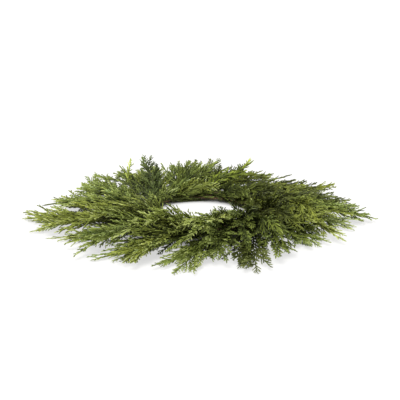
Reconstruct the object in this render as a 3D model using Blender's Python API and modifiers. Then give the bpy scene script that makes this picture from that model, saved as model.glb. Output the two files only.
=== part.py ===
"""Cedar candle ring: flat cedar sprays lashed with wire to a bent cane hoop, round a candle opening.

Units are metres, +Z is up, the table is Z = 0 and the opening's centre line is the Z axis.
Seen from above, every spray leaves the hoop clockwise and sweeps outwards. Three tiers of sprays
lie one over another, and two kinds of short sprigs line the opening.
"""

import math
from dataclasses import dataclass
from random import Random

import bmesh
import bpy
from mathutils import Matrix, Vector

# The cane hoop, half-round in section and flat underneath
HOOP_RADIUS = 0.100
CANE_HALF_WIDTH = 0.008
CANE_SHOULDER = 0.003        # height at which its straight sides turn into its round top
CANE_FOOT_HALF_WIDTH = 0.007
CANE_FOOT_CHAMFER = 0.001
CANE_ARCH_STEPS = 8

# The binding wire: one turn round the hoop at each tie, holding four stems
TIES = 14
STEPS_PER_TIE = 6            # hoop segments between two ties
WIRE_RADIUS = 0.0006
TURN_LENGTH = 0.0034         # how far the wire moves along the hoop in one turn
TURN_ANGLES = (0.0, 22.5, 45.0, 67.5, 90.0, 112.5, 135.0, 157.5, 180.0)
TURN_LOW_SPREAD = 0.003      # how far out from the cane's foot the wire goes under
RUN_OUTWARDS = -0.0095       # where it runs from tie to tie, low on the hoop's inner side
RUN_HEIGHT = 0.0020
RUN_SHARES = (0.12, 0.32, 0.5, 0.68, 0.88)
NOTCH_WIDTH = 0.0036         # in the cane's underside, where the wire passes

# Stems lie in four lanes, given by their angle round the cane's section: 0 is outwards, 90 is up
STEM_RADIUS = 0.0012
GAP = 0.0003                 # clearance between pieces that touch
FACET_ALLOWANCE = 0.0001
LANE_DEGREES = {"outer": 22.0, "upper_outer": 68.0, "upper_inner": 112.0, "inner": 158.0}
LANE_DISTANCE = CANE_HALF_WIDTH + GAP + STEM_RADIUS + FACET_ALLOWANCE
TURN_RADIUS = LANE_DISTANCE + STEM_RADIUS + GAP + WIRE_RADIUS + 3 * FACET_ALLOWANCE
BOUND_BEFORE_TIE = 0.008
BOUND_AFTER_TIE = 0.012
BOUND = BOUND_BEFORE_TIE + BOUND_AFTER_TIE
SPRAY_BEND = 0.020           # length over which a spray's stem turns out of its lane
SPRIG_BEND = 0.008
INWARD_LENGTH = 0.030        # length over which a sprig drifts from its lane to its own radius

# The blade of a spray
SIDE_TWIG_SWEEP = 1.0        # forward reach of a side twig for each metre of its sideways reach
EDGE_HALF_THICKNESS = 0.00055
CORE_HALF_THICKNESS = 0.0010
CORE_THINNING = 0.3          # share of the core's thickness that is lost by the tip
TEETH = (0.10, 0.19, 0.29, 0.38, 0.48, 0.57, 0.66, 0.75, 0.85)   # a notch, a side twig, a notch and so on
NOTCH_SHARE = 0.55
FIRST_NOTCH_SHARE = 0.44
FULLNESS = 2.2               # higher keeps the blade wide nearer to its tip
TIP_LENGTH = 0.001
PLAN_STEP = 0.002

# How far from the axis each spray's tip reaches, and its direction on leaving the hoop, in degrees
# from straight outwards, tie by tie
LOW_REACH = (0.291, 0.260, 0.270, 0.294, 0.298, 0.248, 0.258, 0.274, 0.264, 0.272, 0.292, 0.296, 0.290, 0.270)
LOW_SWIRL = (60, 58, 53, 57, 63, 60, 56, 54, 57, 55, 58, 56, 55, 57)
MIDDLE_REACH = (0.284, 0.266, 0.278, 0.25, 0.256, 0.262, 0.290, 0.262, 0.25, 0.27, 0.286, 0.276, 0.266, 0.268)
MIDDLE_SWIRL = (36, 34, 44, 42, 43, 37, 38, 36, 37, 35, 38, 36, 42, 37)
TOP_REACH = (0.226, 0.212, 0.222, 0.208, 0.214, 0.216, 0.232, 0.222, 0.258, 0.222, 0.224, 0.241, 0.262, 0.230)
TOP_SWIRL = (60, 58, 61, 59, 62, 58, 60, 61, 67, 51, 60, 48, 55, 60)
RAISED_TIPS = {8: 0.030, 9: 0.045, 11: 0.049, 12: 0.030}     # top sprays that turn up at the back
SHORT_SPRAY_LIFT = 0.14      # a middle spray's tip is higher by this share of what it lacks in reach
FULL_REACH = 0.290
FIRST_TIE_DEGREES = 231.0    # azimuth of the tie whose low spray points along -X
LOWEST_TIE_DEGREES = 80.0    # the ring is settled there, by this share of its height
SETTLED_SHARE = 0.30

# The foliage round the opening
COLLAR_TOP = 0.033           # its mean height
COLLAR_SLOPE = 0.010         # how much higher and lower it gets on its way round
COLLAR_LOWEST_DEGREES = 235.0
COLLAR_RADIUS = 0.0832
COLLAR_RUN = 0.079
COLLAR_WIDEST = 0.0125
TUCK_RADIUS = 0.0885
TUCK_RUN = 0.026

SEED = 8
CEDAR_GREENS = {
    "low_spray": (0.060, 0.098, 0.022, 1.0),
    "middle_spray": (0.098, 0.152, 0.034, 1.0),
    "top_spray": (0.130, 0.188, 0.044, 1.0),
    "collar_sprig": (0.090, 0.140, 0.032, 1.0),
    "tuck_sprig": (0.075, 0.118, 0.028, 1.0),
}
CANE_BROWN = (0.28, 0.17, 0.08, 1.0)
WIRE_GREEN = (0.05, 0.07, 0.03, 1.0)


def ease(share):
    """Smooth step from 0 to 1."""
    share = min(1.0, max(0.0, share))
    return share * share * (3.0 - 2.0 * share)


def polar(radius, azimuth, height=0.0):
    """The point at that distance and direction from the axis."""
    return Vector((radius * math.cos(azimuth), radius * math.sin(azimuth), height))


def lane_place(lane):
    """Distance from the axis and height of a lane's centre line."""
    angle = math.radians(LANE_DEGREES[lane])
    return (HOOP_RADIUS + LANE_DISTANCE * math.cos(angle), CANE_SHOULDER + LANE_DISTANCE * math.sin(angle))


def tie_azimuth(index):
    """Direction of a tie from the axis."""
    return math.radians(FIRST_TIE_DEGREES + 360.0 / TIES * index)


def settled(azimuth):
    """Share of its full height that a spray bound at that azimuth keeps."""
    return 1.0 - SETTLED_SHARE * (1.0 + math.cos(azimuth - math.radians(LOWEST_TIE_DEGREES))) / 2.0


def collar_top(azimuth):
    """Height of the foliage round the opening, lowest at the front left."""
    return COLLAR_TOP - COLLAR_SLOPE * math.cos(azimuth - math.radians(COLLAR_LOWEST_DEGREES))


@dataclass
class Spray:
    """One cedar spray: a stem bound in a lane, and the flat blade that grows on it."""

    name: str
    azimuth: float           # of the tie that binds it, in radians
    lane: str
    peak: float              # greatest height of its spine
    peak_at: float           # where that is, as a share of the way from the lane to the tip
    tip: float               # height of its tip
    half_width: float        # sideways reach of its longest side twig
    roll: float              # of the blade about the spine, in radians
    bare: float              # length of bare stem between the bend and the blade
    bend: float = SPRAY_BEND
    reach: float = 0.0       # tip's distance from the axis, for a spray that leaves the hoop
    swirl: float = 0.0       # its direction on leaving, in radians from straight outwards
    curl: float = 0.0        # further turn outwards, in radians per metre
    run: float = 0.0         # length after the lane, for a sprig that goes round the opening
    run_radius: float = 0.0

    def plan_points(self):
        """The spine seen from above, from the stem's cut end to the tip, and the steps of it in the lane."""
        radius, _ = lane_place(self.lane)
        in_lane = round(BOUND / PLAN_STEP)
        start = self.azimuth + BOUND_BEFORE_TIE / radius
        azimuth = start - BOUND / radius
        points = [polar(radius, start - BOUND / radius * i / in_lane) for i in range(in_lane + 1)]
        gone = 0.0
        while gone < self.run:
            gone += PLAN_STEP
            out = radius + (self.run_radius - radius) * ease(gone / INWARD_LENGTH)
            azimuth -= PLAN_STEP / out
            points.append(polar(out, azimuth))
        while points[-1].length < self.reach:
            gone += PLAN_STEP
            turn = (math.pi / 2 - self.swirl) * ease(gone / self.bend) + self.curl * gone
            points.append(points[-1] + polar(PLAN_STEP, azimuth - math.pi / 2 + turn))
        return points, in_lane

    def height(self, gone, total):
        """Height of the spine, at that distance from the lane's end."""
        _, lane_height = lane_place(self.lane)
        summit = self.peak_at * total
        if gone <= summit:
            return lane_height + (self.peak - lane_height) * ease(gone / summit)
        beyond = (gone - summit) / (total - summit)
        return self.peak - (self.peak - self.tip) * beyond * beyond

    def spine(self):
        """Points of the spine in space."""
        points, in_lane = self.plan_points()
        total = (len(points) - 1 - in_lane) * PLAN_STEP
        for i, point in enumerate(points):
            point.z = self.height(max(0, i - in_lane) * PLAN_STEP, total)
        return points


class Sheet:
    """The curved surface a blade lies in: length along the spine, then sideways, then up from it."""

    def __init__(self, spray):
        self.spray = spray
        self.points = spray.spine()
        self.along = [0.0]
        for before, after in zip(self.points, self.points[1:]):
            self.along.append(self.along[-1] + (after - before).length)
        self.length = self.along[-1]

    def at(self, s, sideways, up):
        """The point in space at that length, sideways distance and height over the sheet."""
        i = 0
        while i < len(self.along) - 2 and self.along[i + 1] < s:
            i += 1
        step = self.points[i + 1] - self.points[i]
        place = self.points[i] + step * ((s - self.along[i]) / step.length)
        direction = (self.points[min(i + 2, len(self.points) - 1)] - self.points[max(i - 1, 0)]).normalized()
        side = direction.cross(Vector((0.0, 0.0, 1.0))).normalized()
        roll = self.spray.roll * ease((s - BOUND) / self.spray.bend)
        side = Matrix.Rotation(roll, 3, direction) @ side
        return place + side * sideways + side.cross(direction) * up


def sections(spray, length):
    """Length along the spine, half width, edge and core half thickness of each section of a spray."""
    stem = (STEM_RADIUS * math.cos(math.radians(30)), STEM_RADIUS / 2, STEM_RADIUS)
    root = BOUND + spray.bend + spray.bare
    stem_ends = (0.0, BOUND / 2, BOUND, BOUND + spray.bend / 3, BOUND + 2 * spray.bend / 3, root)
    rows = [(s, *stem) for s in stem_ends]
    for i, share in enumerate(TEETH):
        notch = 1.0 if i % 2 else NOTCH_SHARE
        width = spray.half_width * (1.0 - share ** FULLNESS) * (notch if i else FIRST_NOTCH_SHARE)
        core = CORE_HALF_THICKNESS * (1.0 - CORE_THINNING * share)
        rows.append((root + share * (length - root), width, EDGE_HALF_THICKNESS, core))
    rows.append((length - TIP_LENGTH, TIP_LENGTH, EDGE_HALF_THICKNESS, EDGE_HALF_THICKNESS + FACET_ALLOWANCE))
    return rows


def spray_mesh(spray):
    """A stem that widens into a thin blade with side twigs: a six-sided ring, extruded to each section."""
    sheet = Sheet(spray)
    rows = sections(spray, sheet.length)
    corners = ((1, 1), (0, 1), (-1, 1), (-1, -1), (0, -1), (1, -1))
    bm = bmesh.new()
    bmesh.ops.create_circle(bm, segments=len(corners), radius=1.0)
    corner = bm.verts.layers.int.new("corner")
    for i, vertex in enumerate(bm.verts):
        vertex[corner] = i

    def place(vertices, section):
        s, width, edge, core = section
        for vertex in vertices:
            across, over = corners[vertex[corner]]
            swept = min(s + SIDE_TWIG_SWEEP * width * abs(across), sheet.length)
            vertex.co = sheet.at(swept, across * width, over * (edge if across else core))

    place(bm.verts, rows[0])
    ring = list(bm.edges)
    for section in rows[1:]:
        grown = bmesh.ops.extrude_edge_only(bm, edges=ring)["geom"]
        place([g for g in grown if isinstance(g, bmesh.types.BMVert)], section)
        ring = [g for g in grown if isinstance(g, bmesh.types.BMEdge)]
    bmesh.ops.holes_fill(bm, edges=bm.edges, sides=len(corners))
    bmesh.ops.recalc_face_normals(bm, faces=bm.faces)
    mesh = bpy.data.meshes.new(spray.name)
    bm.to_mesh(mesh)
    bm.free()
    return mesh


def all_sprays():
    """The sprays, tier by tier, and then the sprigs."""
    vary = Random(SEED)

    def about(value, share):
        return value * (1.0 + share * (2.0 * vary.random() - 1.0))

    sprays = []
    for i in range(TIES):
        sprays.append(Spray(
            f"low_spray_{i + 1:02d}", tie_azimuth(i), "outer",
            peak=about(0.0105, 0.12), peak_at=0.30, tip=0.0010,
            half_width=about(0.036, 0.06), roll=math.radians(about(1.5, 1.0)), bare=0.012,
            reach=LOW_REACH[i], swirl=math.radians(LOW_SWIRL[i]), curl=about(0.3, 1.0)))
    for i in range(TIES):
        lift = SHORT_SPRAY_LIFT * (FULL_REACH - MIDDLE_REACH[i])
        sprays.append(Spray(
            f"middle_spray_{i + 1:02d}", tie_azimuth(i), "upper_outer",
            peak=settled(tie_azimuth(i)) * about(0.0245, 0.05), peak_at=0.40, tip=about(0.0050, 0.20) + lift,
            half_width=about(0.037, 0.06), roll=math.radians(about(2.5, 1.0)), bare=0.014,
            reach=MIDDLE_REACH[i], swirl=math.radians(MIDDLE_SWIRL[i]), curl=about(0.2, 1.0)))
    for i in range(TIES):
        tip = settled(tie_azimuth(i)) * about(0.0270, 0.08)
        sprays.append(Spray(
            f"top_spray_{i + 1:02d}", tie_azimuth(i), "upper_inner",
            peak=settled(tie_azimuth(i)) * about(0.0400, 0.05), peak_at=0.42, tip=RAISED_TIPS.get(i, tip),
            half_width=about(0.033, 0.08), roll=math.radians(about(5.0, 1.0)), bare=0.010,
            reach=TOP_REACH[i], swirl=math.radians(TOP_SWIRL[i]), curl=about(0.2, 1.0)))
    for i in range(0, TIES, 2):
        top = collar_top(tie_azimuth(i) - COLLAR_RUN / 2 / COLLAR_RADIUS)
        width = min(0.45 * top, COLLAR_WIDEST)
        sprays.append(Spray(
            f"collar_sprig_{i // 2 + 1:02d}", tie_azimuth(i), "inner",
            peak=top - width, peak_at=0.35, tip=top - width,
            half_width=width, roll=math.radians(84), bare=0.004,
            bend=SPRIG_BEND, run=about(COLLAR_RUN, 0.04), run_radius=COLLAR_RADIUS))
    for i in range(1, TIES, 2):
        top = collar_top(tie_azimuth(i) - TUCK_RUN / TUCK_RADIUS)
        width = 0.3 * top
        height = top - 0.6 * width
        sprays.append(Spray(
            f"tuck_sprig_{i // 2 + 1:02d}", tie_azimuth(i), "inner",
            peak=height, peak_at=1.0, tip=height,
            half_width=width, roll=math.radians(90), bare=0.001,
            bend=SPRIG_BEND, run=TUCK_RUN, run_radius=TUCK_RADIUS))
    return sprays


def cane_profile():
    """Half-round section of the hoop, from its crown down the outer side and back up the inner one."""
    outer = []
    for i in range(CANE_ARCH_STEPS // 2 + 1):
        angle = math.pi / 2 - math.pi * i / CANE_ARCH_STEPS
        outer.append((CANE_HALF_WIDTH * math.cos(angle), CANE_SHOULDER + CANE_HALF_WIDTH * math.sin(angle)))
    outer.append((CANE_HALF_WIDTH, CANE_FOOT_CHAMFER))
    outer.append((CANE_FOOT_HALF_WIDTH, 0.0))
    inner = [(-x, z) for x, z in reversed(outer[1:])]
    return [(HOOP_RADIUS + x, z) for x, z in outer + inner]


def turn_section():
    """One turn of the wire, as distances outwards and up, from the inner side over the top and back under."""
    low = WIRE_RADIUS + GAP
    foot = CANE_FOOT_HALF_WIDTH + TURN_LOW_SPREAD
    over = []
    for degrees in TURN_ANGLES:
        angle = math.radians(degrees)
        over.append((-TURN_RADIUS * math.cos(angle), CANE_SHOULDER + TURN_RADIUS * math.sin(angle)))
    return over + [(foot, low), (0.0, low), (-foot, low)]


def wire_points():
    """The binding wire's route: a turn at each tie, and a run along the hoop's inner side to the next."""
    section = turn_section()
    advance = TURN_LENGTH / HOOP_RADIUS
    points = []
    for i in range(TIES):
        centre = tie_azimuth(i)
        for k, (outwards, up) in enumerate(section):
            azimuth = centre + advance * (k / (len(section) - 1) - 0.5)
            points.append(polar(HOOP_RADIUS + outwards, azimuth, up))
        if i < TIES - 1:
            for share in RUN_SHARES:
                azimuth = centre + 2 * math.pi / TIES * share
                points.append(polar(HOOP_RADIUS + RUN_OUTWARDS, azimuth, RUN_HEIGHT))
    return points


def new_material(name, colour, roughness):
    """A Principled material of one colour."""
    material = bpy.data.materials.new(name)
    material.use_nodes = True
    shader = material.node_tree.nodes["Principled BSDF"]
    shader.inputs["Base Color"].default_value = colour
    shader.inputs["Roughness"].default_value = roughness
    material.diffuse_color = colour
    return material


def link(name, data, collection):
    """A new object in that collection."""
    made = bpy.data.objects.new(name, data)
    collection.objects.link(made)
    return made


def make_notch_cutters(collection):
    """Blocks that cut the shallow notches where the wire passes under the hoop."""
    bm = bmesh.new()
    depth = 2 * (WIRE_RADIUS + GAP)
    under_way = (len(TURN_ANGLES) + 1) / (len(TURN_ANGLES) + 2) - 0.5      # where a turn passes underneath
    for i in range(TIES):
        azimuth = tie_azimuth(i) + under_way * TURN_LENGTH / HOOP_RADIUS
        size = Matrix.Diagonal((4 * CANE_HALF_WIDTH, NOTCH_WIDTH, 2 * depth, 1.0))
        matrix = Matrix.Rotation(azimuth, 4, "Z") @ Matrix.Translation((HOOP_RADIUS, 0.0, 0.0)) @ size
        bmesh.ops.create_cube(bm, size=1.0, matrix=matrix)
    mesh = bpy.data.meshes.new("notch_cutters")
    bm.to_mesh(mesh)
    bm.free()
    cutters = link("notch_cutters", mesh, collection)
    cutters.hide_render = True
    cutters.display_type = "WIRE"
    return cutters


def make_hoop(parts, cutters):
    """The bent cane hoop: a turned half-round section with a notch under each tie."""
    profile = cane_profile()
    mesh = bpy.data.meshes.new("cane_hoop")
    edges = [(i, (i + 1) % len(profile)) for i in range(len(profile))]
    mesh.from_pydata([(x, 0.0, z) for x, z in profile], edges, [])
    mesh.materials.append(new_material("cane", CANE_BROWN, 0.7))
    hoop = link("cane_hoop", mesh, parts)
    turned = hoop.modifiers.new("turned", "SCREW")
    turned.axis = "Z"
    turned.angle = 2 * math.pi
    turned.steps = turned.render_steps = TIES * STEPS_PER_TIE
    turned.use_merge_vertices = True
    turned.merge_threshold = 0.0001
    notches = hoop.modifiers.new("notches", "BOOLEAN")
    notches.operation = "DIFFERENCE"
    notches.object = cutters


def make_wire(parts):
    """The one length of binding wire."""
    curve = bpy.data.curves.new("binding_wire", "CURVE")
    curve.dimensions = "3D"
    curve.bevel_depth = WIRE_RADIUS
    curve.bevel_resolution = 1
    curve.use_fill_caps = True
    points = wire_points()
    spline = curve.splines.new("POLY")
    spline.points.add(len(points) - 1)
    for target, point in zip(spline.points, points):
        target.co = (*point, 1.0)
    curve.materials.append(new_material("wire", WIRE_GREEN, 0.45))
    link("binding_wire", curve, parts)


def make_sprays(parts):
    """Every spray and sprig, with a green for each tier."""
    greens = {tier: new_material(f"cedar_{tier}", colour, 0.6) for tier, colour in CEDAR_GREENS.items()}
    for spray in all_sprays():
        mesh = spray_mesh(spray)
        mesh.materials.append(greens[spray.name[:-3]])
        link(spray.name, mesh, parts)


def main():
    """Builds the candle ring."""
    for old in list(bpy.data.objects):
        bpy.data.objects.remove(old)
    parts = bpy.data.collections.new("cedar_candle_ring")
    helpers = bpy.data.collections.new("cutters")
    for collection in (parts, helpers):
        bpy.context.scene.collection.children.link(collection)
    make_hoop(parts, make_notch_cutters(helpers))
    make_wire(parts)
    make_sprays(parts)


if __name__ == "__main__":
    main()
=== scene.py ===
"""Cedar candle ring, dressed: feathery cedar sprays bound with wire to a cane hoop, in a plain studio.

Metres throughout, +Z up, the table at Z = 0 and the candle opening's centre line on the Z axis.
Every spray grows along the same line as the solid it stands for.
"""

import logging
import math
from bisect import bisect_right
from dataclasses import dataclass, field
from enum import Enum
from random import Random

import bmesh
import bpy
import numpy as np
from bmesh.types import BMEdge, BMesh, BMVert
from bpy.types import Material, Mesh, Node, NodeSocket, NodeTree, Object
from mathutils import Matrix, Vector


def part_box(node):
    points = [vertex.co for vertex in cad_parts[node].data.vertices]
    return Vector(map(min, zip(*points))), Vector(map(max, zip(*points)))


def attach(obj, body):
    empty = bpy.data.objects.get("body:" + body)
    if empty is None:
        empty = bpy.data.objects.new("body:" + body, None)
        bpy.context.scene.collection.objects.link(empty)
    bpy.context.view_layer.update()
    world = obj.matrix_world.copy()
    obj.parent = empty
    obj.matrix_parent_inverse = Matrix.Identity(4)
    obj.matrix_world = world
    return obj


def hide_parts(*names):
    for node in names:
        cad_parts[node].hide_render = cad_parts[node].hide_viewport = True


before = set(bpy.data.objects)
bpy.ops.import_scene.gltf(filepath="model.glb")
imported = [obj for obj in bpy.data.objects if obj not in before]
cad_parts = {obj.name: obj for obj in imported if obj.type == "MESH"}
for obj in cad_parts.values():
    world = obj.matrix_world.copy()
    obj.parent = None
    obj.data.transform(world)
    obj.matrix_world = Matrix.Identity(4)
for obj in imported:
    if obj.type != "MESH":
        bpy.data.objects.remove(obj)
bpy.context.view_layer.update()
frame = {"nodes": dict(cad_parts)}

log = logging.getLogger("candle_ring")

BODY = "root"
Colour = tuple[float, float, float]
Point = tuple[float, float, float]
Span = tuple[float, float]
Outline = tuple[tuple[float, float], ...]

# What each vertex of the foliage and stems knows, for the finishes
GROWTH_AND_SHADE = "growth"       # 0 on the oldest foliage near the hoop, 1 at the youngest tips, and lowered as painted shade where foliage lies deep in the ring
TONE = "tone"           # -1 to 1, one value for each twig
HUE = "hue"             # 1 on yellowed twigs, -1 on bluish ones, 0 on most
WOOD = "wood"           # 1 on woody stem, 0 on green scales
ALONG = "along"         # metres along the branchlet or stem
VERTEX_LAYERS = (GROWTH_AND_SHADE, TONE, HUE, WOOD, ALONG)


def ease(share: float) -> float:
    """Smooth step from 0 to 1."""
    share = min(1.0, max(0.0, share))
    return share * share * (3.0 - 2.0 * share)


def polar(radius: float, azimuth: float, height: float = 0.0) -> Vector:
    """The point at that distance and direction from the axis."""
    return Vector((radius * math.cos(azimuth), radius * math.sin(azimuth), height))


def turned(degrees: float, axis: str) -> Matrix:
    """A turn about an axis."""
    return Matrix.Rotation(math.radians(degrees), 4, axis)


def ramp(values: np.ndarray, start: float, full: float) -> np.ndarray:
    """Shares that rise evenly from 0 at the start to 1 where the ramp is full."""
    return np.clip((values - start) / (full - start), 0.0, 1.0)


def ease_all(shares: np.ndarray) -> np.ndarray:
    """Smooth step from 0 to 1, for shares that already lie between them."""
    return shares * shares * (3.0 - 2.0 * shares)


def read_places(mesh: Mesh) -> np.ndarray:
    """Reads where a mesh's vertices are.

    Args:
        mesh: The mesh.

    Returns:
        A row of X, Y and Z for each vertex.
    """
    places = np.empty(len(mesh.vertices) * 3, np.float32)
    mesh.vertices.foreach_get("co", places)
    return places.reshape(-1, 3)


def write_places(mesh: Mesh, places: np.ndarray) -> None:
    """Moves a mesh's vertices to those places."""
    mesh.vertices.foreach_set("co", places.astype(np.float32).ravel())


# ---------------------------------------------------------------- where the stems lie


class Tier(Enum):
    """The kinds of spray, named as their nodes are."""

    LOW = "low_spray"
    MIDDLE = "middle_spray"
    TOP = "top_spray"
    COLLAR = "collar_sprig"
    TUCK = "tuck_sprig"


class Lane(Enum):
    """Where stems are bound round the cane's section, in degrees up from straight outwards."""

    OUTER = 22.0
    UPPER_OUTER = 68.0
    UPPER_INNER = 112.0
    INNER = 158.0


@dataclass(frozen=True)
class HoopPlan:
    """The hoop's sizes, and the places on it where stems are bound."""

    radius: float = 0.100
    half_width: float = 0.008
    shoulder: float = 0.003
    stem_radius: float = 0.0012
    gap: float = 0.0003
    facet_allowance: float = 0.0001
    ties: int = 14
    first_tie_degrees: float = 231.0
    before_tie: float = 0.008
    after_tie: float = 0.012

    @property
    def bound(self) -> float:
        """Length of stem that lies along the hoop."""
        return self.before_tie + self.after_tie

    def tie(self, index: int) -> float:
        """Direction of a tie from the axis, in radians."""
        return math.radians(self.first_tie_degrees + 360.0 / self.ties * index)

    def lane(self, lane: Lane) -> Span:
        """Places a lane's centre line.

        Args:
            lane: The lane.

        Returns:
            Its distance from the axis, and its height.
        """
        distance = self.half_width + self.gap + self.stem_radius + self.facet_allowance
        angle = math.radians(lane.value)
        return (self.radius + distance * math.cos(angle), self.shoulder + distance * math.sin(angle))


HOOP = HoopPlan()


@dataclass
class StemLine:
    """The line of one stem: bound along the hoop in its lane, then free to its tip."""

    name: str
    tier: Tier
    azimuth: float
    lane: Lane
    peak: float
    peak_at: float
    tip: float
    half_width: float
    roll: float
    bend: float = 0.020              # length over which it turns away from the hoop
    reach: float = 0.0               # distance of its tip from the axis
    swirl: float = 0.0
    curl: float = 0.0                # radians per metre
    run: float = 0.0                 # length of a sprig that follows the hoop
    run_radius: float = 0.0
    step: float = 0.002
    inward: float = 0.030            # length over which a sprig moves to its own radius

    def plan_points(self) -> tuple[list[Vector], int]:
        """Walks the line as seen from above.

        Returns:
            The points from the cut end to the tip, and how many steps of them lie in the lane.
        """
        radius, _ = HOOP.lane(self.lane)
        in_lane = round(HOOP.bound / self.step)
        start = self.azimuth + HOOP.before_tie / radius
        azimuth = start - HOOP.bound / radius
        points = [polar(radius, start - HOOP.bound / radius * i / in_lane) for i in range(in_lane + 1)]
        gone = 0.0
        while gone < self.run:
            gone += self.step
            out = radius + (self.run_radius - radius) * ease(gone / self.inward)
            azimuth -= self.step / out
            points.append(polar(out, azimuth))
        while points[-1].length < self.reach:
            gone += self.step
            turn = (math.pi / 2 - self.swirl) * ease(gone / self.bend) + self.curl * gone
            points.append(points[-1] + polar(self.step, azimuth - math.pi / 2 + turn))
        return points, in_lane

    def height(self, gone: float, total: float) -> float:
        """Finds how high the line is.

        Args:
            gone: Length from the end of the lane.
            total: Length of the whole free line.

        Returns:
            Its height above the table.
        """
        _, lane_height = HOOP.lane(self.lane)
        summit = self.peak_at * total
        if gone <= summit:
            return lane_height + (self.peak - lane_height) * ease(gone / summit)
        beyond = (gone - summit) / (total - summit)
        return self.peak - (self.peak - self.tip) * beyond * beyond

    def points(self) -> list[Vector]:
        """Finds the line in space.

        Returns:
            Its points, from the cut end to the tip.
        """
        points, in_lane = self.plan_points()
        total = (len(points) - 1 - in_lane) * self.step
        for i, point in enumerate(points):
            point.z = self.height(max(0, i - in_lane) * self.step, total)
        return points


@dataclass(frozen=True)
class RingPlan:
    """Reach, direction and height of every spray, tie by tie."""

    low_reach: tuple[float, ...] = (
        0.291, 0.260, 0.270, 0.294, 0.298, 0.248, 0.258, 0.274, 0.264, 0.272, 0.292, 0.296, 0.290, 0.270)
    low_swirl: tuple[float, ...] = (60, 58, 53, 57, 63, 60, 56, 54, 57, 55, 58, 56, 55, 57)
    middle_reach: tuple[float, ...] = (
        0.284, 0.266, 0.278, 0.25, 0.256, 0.262, 0.290, 0.262, 0.25, 0.27, 0.286, 0.276, 0.266, 0.268)
    middle_swirl: tuple[float, ...] = (36, 34, 44, 42, 43, 37, 38, 36, 37, 35, 38, 36, 42, 37)
    top_reach: tuple[float, ...] = (
        0.226, 0.212, 0.222, 0.208, 0.214, 0.216, 0.232, 0.222, 0.258, 0.222, 0.224, 0.241, 0.262, 0.230)
    top_swirl: tuple[float, ...] = (60, 58, 61, 59, 62, 58, 60, 61, 67, 51, 60, 48, 55, 60)
    # top sprays whose tips turn up at the back, counted from 0, and how high
    raised_tips: tuple[tuple[int, float], ...] = ((8, 0.030), (9, 0.045), (11, 0.049), (12, 0.030))
    short_spray_lift: float = 0.14
    full_reach: float = 0.290
    lowest_tie_degrees: float = 80.0
    settled_share: float = 0.30
    collar_height: float = 0.033
    collar_slope: float = 0.010
    collar_lowest_degrees: float = 235.0
    collar_radius: float = 0.0832
    collar_run: float = 0.079
    collar_widest: float = 0.0125
    tuck_radius: float = 0.0885
    tuck_run: float = 0.026
    sprig_bend: float = 0.008
    collar_width_share: float = 0.45    # half widths, in shares of the foliage's height
    tuck_width_share: float = 0.3
    tuck_drop: float = 0.6           # of its line below its top, in half widths
    seed: int = 8

    def keeps(self, lean: float | np.ndarray) -> float | np.ndarray:
        """Share of its full height that foliage keeps, by the cosine of its angle to the lowest tie."""
        return 1.0 - self.settled_share * (1.0 + lean) / 2.0

    def settled(self, azimuth: float) -> float:
        """Share of its full height that a spray bound at that azimuth keeps."""
        return self.keeps(math.cos(azimuth - math.radians(self.lowest_tie_degrees)))

    def collar_top(self, azimuth: float) -> float:
        """Height of the foliage round the opening."""
        lean = math.cos(azimuth - math.radians(self.collar_lowest_degrees))
        return self.collar_height - self.collar_slope * lean

    def lines(self) -> list[StemLine]:
        """Draws every stem's line, in the same order as the solids.

        Returns:
            The lines, tier by tier.
        """
        vary = Random(self.seed)

        def about(value: float, share: float) -> float:
            """The value, varied by up to that share of it."""
            return value * (1.0 + share * (2.0 * vary.random() - 1.0))

        lines = []
        for i in range(HOOP.ties):
            lines.append(StemLine(
                f"{Tier.LOW.value}_{i + 1:02d}", Tier.LOW, HOOP.tie(i), Lane.OUTER,
                peak=about(0.0105, 0.12), peak_at=0.30, tip=0.0010,
                half_width=about(0.036, 0.06), roll=math.radians(about(1.5, 1.0)),
                reach=self.low_reach[i], swirl=math.radians(self.low_swirl[i]), curl=about(0.3, 1.0)))
        for i in range(HOOP.ties):
            lift = self.short_spray_lift * (self.full_reach - self.middle_reach[i])
            lines.append(StemLine(
                f"{Tier.MIDDLE.value}_{i + 1:02d}", Tier.MIDDLE, HOOP.tie(i), Lane.UPPER_OUTER,
                peak=self.settled(HOOP.tie(i)) * about(0.0245, 0.05), peak_at=0.40,
                tip=about(0.0050, 0.20) + lift,
                half_width=about(0.037, 0.06), roll=math.radians(about(2.5, 1.0)),
                reach=self.middle_reach[i], swirl=math.radians(self.middle_swirl[i]), curl=about(0.2, 1.0)))
        raised = dict(self.raised_tips)
        for i in range(HOOP.ties):
            tip = self.settled(HOOP.tie(i)) * about(0.0270, 0.08)
            lines.append(StemLine(
                f"{Tier.TOP.value}_{i + 1:02d}", Tier.TOP, HOOP.tie(i), Lane.UPPER_INNER,
                peak=self.settled(HOOP.tie(i)) * about(0.0400, 0.05), peak_at=0.42, tip=raised.get(i, tip),
                half_width=about(0.033, 0.08), roll=math.radians(about(5.0, 1.0)),
                reach=self.top_reach[i], swirl=math.radians(self.top_swirl[i]), curl=about(0.2, 1.0)))
        for i in range(0, HOOP.ties, 2):
            top = self.collar_top(HOOP.tie(i) - self.collar_run / 2 / self.collar_radius)
            width = min(self.collar_width_share * top, self.collar_widest)
            lines.append(StemLine(
                f"{Tier.COLLAR.value}_{i // 2 + 1:02d}", Tier.COLLAR, HOOP.tie(i), Lane.INNER,
                peak=top - width, peak_at=0.35, tip=top - width,
                half_width=width, roll=math.radians(84),
                bend=self.sprig_bend, run=about(self.collar_run, 0.04), run_radius=self.collar_radius))
        for i in range(1, HOOP.ties, 2):
            top = self.collar_top(HOOP.tie(i) - self.tuck_run / self.tuck_radius)
            width = self.tuck_width_share * top
            height = top - self.tuck_drop * width
            lines.append(StemLine(
                f"{Tier.TUCK.value}_{i // 2 + 1:02d}", Tier.TUCK, HOOP.tie(i), Lane.INNER,
                peak=height, peak_at=1.0, tip=height,
                half_width=width, roll=math.radians(90),
                bend=self.sprig_bend, run=self.tuck_run, run_radius=self.tuck_radius))
        return lines


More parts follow.
